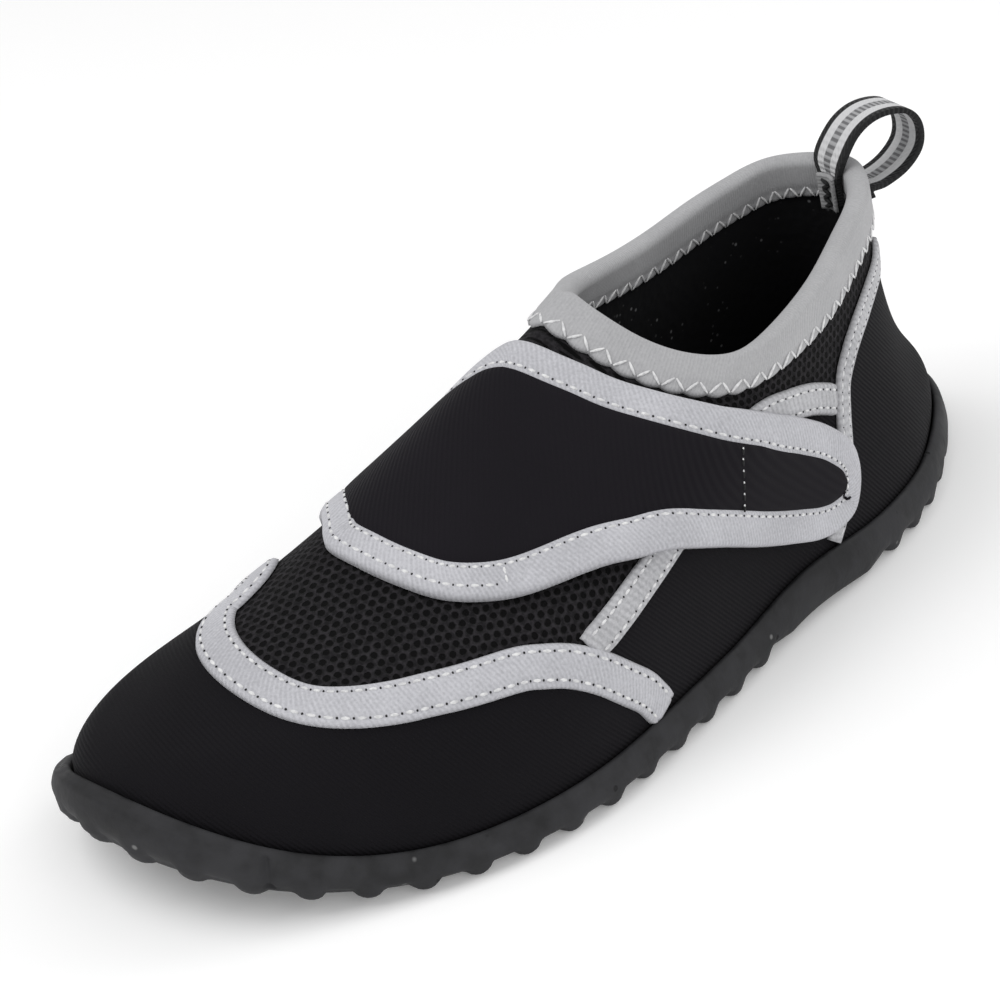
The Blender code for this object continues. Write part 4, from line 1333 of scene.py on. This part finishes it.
def heel_rows(depths, distance):
    """Rows of points across the heel, at depths below the collar."""
    return [[heel_spot(depth, distance, s) for s in spreads] for depth in depths]


loop_lines = heel_rows((0.0085, 0.0052, 0.0020), loop_inside)
for row in LOOP_ROWS:
    rise = np.array([0, 0, row.high * LOOP_RISE])
    middle = loop_top + heel_back * row.back * LOOP_REACH + rise
    loop_lines.append([middle + heel_across * s for s in spreads])
loop_lines += heel_rows((0.0062, 0.0086), loop_outside)
loop_curve = soft_curve(np.array(loop_lines), 7)
loop_length = float(run_along(loop_curve[:, 4])[-1])


def sewn_band(name, rows, columns, cells, length, thickness, cloth, slot, node_name):
    """A flat band through rows of points, half its thickness to either side of them."""

    def place(along, across):
        return read_table(rows, along * (len(rows) - 1), across * (rows.shape[1] - 1))

    bm = bent_grid(columns, cells, place, (length, LOOP_WIDTH))
    made = piece(name, bm, cloth, slot, node_name)
    wall = made.modifiers.new("thickness", "SOLIDIFY")
    wall.thickness = thickness
    wall.offset = 0
    return made


loop = sewn_band("heel_loop", loop_curve, len(loop_curve) - 1, 12, loop_length,
                 LOOP_THICKNESS, webbing, "webbing", "pull_loop")
soft_edge = loop.modifiers.new("soft edge", "BEVEL")
soft_edge.width = 0.0003
soft_edge.segments = 2
print("loop webbing", round(loop_length, 3), "m")

# %% [markdown]
# The patch lies flat over the loop's inner end, and its tack is a zigzag of black thread.

# %% Loop patch
patch_depth = loop_inside - LOOP_THICKNESS / 2 - CLEARANCE - PATCH_THICKNESS / 2
patch_rows = np.array(heel_rows((0.0100, 0.0075, 0.0050, 0.0025, 0.0002), patch_depth))
sewn_band("loop_end_patch", patch_rows, 12, 10, 0.0098, PATCH_THICKNESS, patch_grey,
          "patch", "loop_patch")
thread_depth = patch_depth - PATCH_THICKNESS / 2 - 0.0002
thread_out = -last_normal(LOOP_PLACE, 0.95)
turns = [heel_spot(0.0014 + 0.0013 * step, thread_depth, (-0.0040, 0.0040)[step % 2])
         for step in range(7)]
tack_thread = bmesh.new()
for start, stop in zip(turns, turns[1:]):
    grain(tack_thread, start, stop, thread_out, 0.0006)
piece("patch_tack", outwards(tack_thread), black_thread_and_hole_shade, "patch")

# %% [markdown]
# ## The sole
# The outsole is one rubber tray. Its ring of points runs from the middle of the tray's
# floor out to the wall, over the soft lip, down the outside, round the nubs and back to
# the middle underneath, where wavy grooves make the tread. Nubs stand 12 mm apart round
# the forefoot and the heel, and the waist between them is smooth. They could be cut out
# with booleans, but moving the rings in and up between them leaves a cleaner mesh.

# %% Places of the nubs
NUB_PITCH = 0.0120
NUBS_STOP = 0.56
NUBS_START = 0.74
BUMPER_END = 0.060
half_edge = np.linspace(0, 0.5, 2001)
edge_run = run_along(sole_plan(half_edge))
edge_share = SOLE_ALONG(half_edge) / LENGTH
waist_from, waist_to, bumper_at = np.interp(
    (NUBS_STOP, NUBS_START, BUMPER_END), edge_share, edge_run)
front_nubs = np.arange(0, waist_from, NUB_PITCH)
rear_nubs = edge_run[-1] - np.arange(0, edge_run[-1] - waist_to, NUB_PITCH)
nub_places = np.concatenate([front_nubs, rear_nubs])
print(len(nub_places), "nubs on each side")

# %% [markdown]
# One table row stands for one ring of the tray: how far it lies inside the outline, its
# height, how much of that height follows the lip, how far it runs to the middle, and how
# strongly the nubs shape it.

# %% Rings of the sole
SoleRing = namedtuple("SoleRing", "inset high lip inward nub")
SOLE_RINGS = [
    SoleRing(0.0041, 0.0045, 0.0, 1.0, 0.0), SoleRing(0.0041, 0.0045, 0.0, 0.5, 0.0),
    SoleRing(0.0041, 0.0045, 0.0, 0.0, 0.0), SoleRing(0.0041, -0.0010, 1.0, 0.0, 0.0),
    SoleRing(0.0040, -0.0003, 1.0, 0.0, 0.0), SoleRing(0.0035, 0.0000, 1.0, 0.0, 0.0),
    SoleRing(0.0029, -0.0001, 1.0, 0.0, 0.0), SoleRing(0.0023, -0.0006, 1.0, 0.0, 0.0),
    SoleRing(0.0018, -0.0012, 1.0, 0.0, 0.0), SoleRing(0.0014, -0.0019, 1.0, 0.0, 0.0),
    SoleRing(0.0010, 0.0, 0.74, 0.0, 0.0), SoleRing(0.0006, 0.0, 0.63, 0.0, 0.0),
    SoleRing(0.0003, 0.0, 0.52, 0.0, 0.0), SoleRing(0.0002, 0.0, 0.42, 0.0, 0.10),
    SoleRing(0.0002, 0.0, 0.33, 0.0, 0.25), SoleRing(0.0003, 0.0, 0.25, 0.0, 0.5),
    SoleRing(0.0004, 0.0, 0.17, 0.0, 0.8), SoleRing(0.0006, 0.0, 0.09, 0.0, 1.0),
    SoleRing(0.0010, 0.0, 0.04, 0.0, 1.0), SoleRing(0.0017, 0.0, 0.01, 0.0, 0.95),
    SoleRing(0.0028, 0.0, 0.0, 0.0, 0.85), SoleRing(0.0044, 0.0, 0.0, 0.0, 0.6),
    SoleRing(0.0064, 0.0, 0.0, 0.0, 0.3), SoleRing(0.0084, 0.0, 0.0, 0.0, 0.0),
]
UNDER_STEPS = 22
for step in range(1, UNDER_STEPS + 1):
    SOLE_RINGS.append(SoleRing(0.0084, 0.0, 0.0, step / UNDER_STEPS, 0.0))
SOLE_COLUMNS = 720
print(len(SOLE_RINGS), "rings")

# %% [markdown]
# The flat grid becomes the tray in one step. Between nubs the wall sinks in and lifts off
# the ground, the toe bumper stands out a little, and waves cut the tread.

# %% Sole from its rings
NUB_HALF = 0.0032
GAP_INSET = 0.0009
GAP_LIFT = 0.0014
BUMPER_PROUD = 0.0008
BUMPER_GROOVE = 0.0013
TREAD_PITCH = 0.0105
TREAD_DEPTH = 0.0012
# Rings by number: the wall lies between these two, and the tread after the third.
WALL_RINGS = (8, 17)
TREAD_RING = 22


def sole_place(along, across):
    """A place on the tray: round its edge, and across from ring to ring."""
    ring = np.rint(across * (len(SOLE_RINGS) - 1)).astype(int)
    table = np.array(SOLE_RINGS)[ring]
    inset, high, lip_part, inward, nub_part = table.T
    folded = np.minimum(along, 1 - along) * 2
    run_here = folded * edge_run[-1]
    around = np.interp(run_here, edge_run, half_edge)
    around = np.where(along > 0.5, 1 - around, around)
    away = np.abs(run_here[:, None] - nub_places[None]).min(1)
    nub = np.clip(1 - (away / NUB_HALF) ** 2, 0, 1) ** 0.7
    share = SOLE_ALONG(around) / LENGTH
    waist = np.clip(np.minimum(share - NUBS_STOP, NUBS_START - share) / 0.03, 0, 1)
    gap = (1 - nub) * (1 - waist) * nub_part
    bumper = np.clip((bumper_at - run_here) / 0.0015, 0, 1) * np.clip(1 - inward * 30, 0, 1)
    groove = np.exp(-((run_here - bumper_at - 0.0006) / 0.0007) ** 2)
    wall = (ring > WALL_RINGS[0]) & (ring < WALL_RINGS[1])
    out = np.where(wall, BUMPER_PROUD * bumper - BUMPER_GROOVE * groove, 0.0)
    plan = sole_plan(around, inset + GAP_INSET * gap * (lip_part > 0) - out)
    partner = sole_plan(1 - around, inset)
    middle = (sole_plan(around, inset) + partner) / 2
    plan = plan + (middle - plan) * inward[:, None]
    lip = SOLE_LIP(around)
    tread = (ring > TREAD_RING) & (inward < 0.97) & (inward > 0.02)
    wave = np.sin(2 * pi * (plan[:, 1] + 0.22 * np.abs(plan[:, 0] + 0.004)) / TREAD_PITCH)
    shallow = np.clip(inward * 12, 0, 1) * (1 - waist)
    cut = np.where(tread, TREAD_DEPTH * np.clip((wave - 0.1) * 4, 0, 1) * shallow, 0.0)
    z = ground_lift(plan[:, 1]) + high + lip * lip_part + GAP_LIFT * gap + cut
    return np.column_stack([plan, z])


sole = bent_grid(SOLE_COLUMNS, len(SOLE_RINGS) - 1, sole_place, (0.65, 0.09), closed=True)
bmesh.ops.dissolve_degenerate(sole, dist=1e-6, edges=sole.edges)
piece("moulded_outsole", outwards(sole), rubber, "sole_rubber", "outsole")

# %% [markdown]
# ## The insole
# Only its dark knit face shows, deep inside the collar. The CAD solid has the right shape
# already, so it only gets a finish: fine knit rows over soft foam.

# %% Insole finish
def insole_cloth():
    """The insole's knit: its rows crossed by its wales, a little wavy."""
    made, tree, inputs = finish("insole_cloth", (0.012, 0.012, 0.013), 0.9, 0.03, 0.12)
    spot = node(tree, "TexCoord")["Object"]
    rows = bands(tree, spot, (1, 0.3, 0), 0.0014, 0.8)
    wales = bands(tree, spot, (-0.3, 1, 0), 0.0018, 0.8)
    knit = scaled(tree, rows, wales)
    yarn = ramp(tree, knit, -0.5, 0.8)
    colour = blend(tree, yarn, (0.009, 0.009, 0.010), (0.022, 0.022, 0.023))
    dress(tree, inputs, colour, knit, 0.0003, 0.7)
    return made


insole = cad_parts["insole"]
insole.data.materials.clear()
insole.data.materials.append(insole_cloth())
print("insole finished")

# %% [markdown]
# ## Floor, light and camera
# The photo is a plain studio shot on white. A wide pale floor, one large soft light over
# the toe, a weaker one on the outer side, one behind the heel and a bright surround give
# the same soft look. The floor glows faintly, so that it comes out as white as the photo's.

# %% Floor
ground = bmesh.new()
bmesh.ops.create_grid(ground, x_segments=1, y_segments=1, size=3.0)
floor_mesh = bpy.data.meshes.new("floor")
ground.to_mesh(floor_mesh)
ground.free()
floor = bpy.data.objects.new("floor", floor_mesh)
bpy.context.scene.collection.objects.link(floor)
pale, _, inputs = finish("pale_floor", (0.96, 0.96, 0.96), 0.9, 0.0, 0.1)
inputs["Emission Color"].default_value = (1, 1, 1, 1)
inputs["Emission Strength"].default_value = 0.12
floor_mesh.materials.append(pale)
print("floor laid")

# %% [markdown]
# Area lights are soft because they are large. Each is aimed at the middle of the shoe.

# %% Lights
SHOE_MIDDLE = Vector((0, 0, 0.03))


def soft_light(name, spot, energy, size):
    """A square lamp at a spot, aimed at the shoe."""
    lamp = bpy.data.lights.new(name, "AREA")
    lamp.energy = energy
    lamp.size = size
    made = bpy.data.objects.new(name, lamp)
    made.location = spot
    way = SHOE_MIDDLE - Vector(spot)
    made.rotation_euler = way.to_track_quat("-Z", "Y").to_euler()
    bpy.context.scene.collection.objects.link(made)


soft_light("key", (-0.35, -0.55, 0.95), 5.2, 0.8)
soft_light("fill", (0.95, -0.25, 0.55), 2.6, 0.9)
soft_light("rim", (0.2, 0.9, 0.7), 2.2, 0.6)
world = bpy.data.worlds.new("studio")
bpy.context.scene.world = world
world.use_nodes = True
world.node_tree.nodes["Background"].inputs["Color"].default_value = (1, 1, 1, 1)
world.node_tree.nodes["Background"].inputs["Strength"].default_value = 0.55
bpy.context.scene.view_settings.view_transform = "Standard"

# %% [markdown]
# The camera looks down on the outer side and the toe, from the photo's angle: 47 degrees
# round from the toe and 30 degrees up, rolled by 5 degrees, with a long lens.

# %% Camera
CAMERA_AZIMUTH = radians(46.93)
CAMERA_ELEVATION = radians(29.65)
CAMERA_ROLL = radians(-5.0)
CAMERA_DISTANCE = 0.60498
AIM = Vector((-0.0212, -0.0057, 0.030))
back = Vector((sin(CAMERA_AZIMUTH) * cos(CAMERA_ELEVATION),
               -cos(CAMERA_AZIMUTH) * cos(CAMERA_ELEVATION), sin(CAMERA_ELEVATION)))
right = Vector((cos(CAMERA_AZIMUTH), sin(CAMERA_AZIMUTH), 0))
upward = back.cross(right)
level_right = right * cos(CAMERA_ROLL) + upward * sin(CAMERA_ROLL)
level_up = upward * cos(CAMERA_ROLL) - right * sin(CAMERA_ROLL)
lens = bpy.data.cameras.new("photo_camera")
lens.sensor_width = 36.0
lens.lens = 93.6
camera = bpy.data.objects.new("photo_camera", lens)
turn = Matrix((level_right, level_up, back)).transposed().to_4x4()
camera.matrix_world = Matrix.Translation(AIM + back * CAMERA_DISTANCE) @ turn
bpy.context.scene.collection.objects.link(camera)
bpy.context.scene.camera = camera
print("camera at", [round(value, 3) for value in camera.matrix_world.translation])
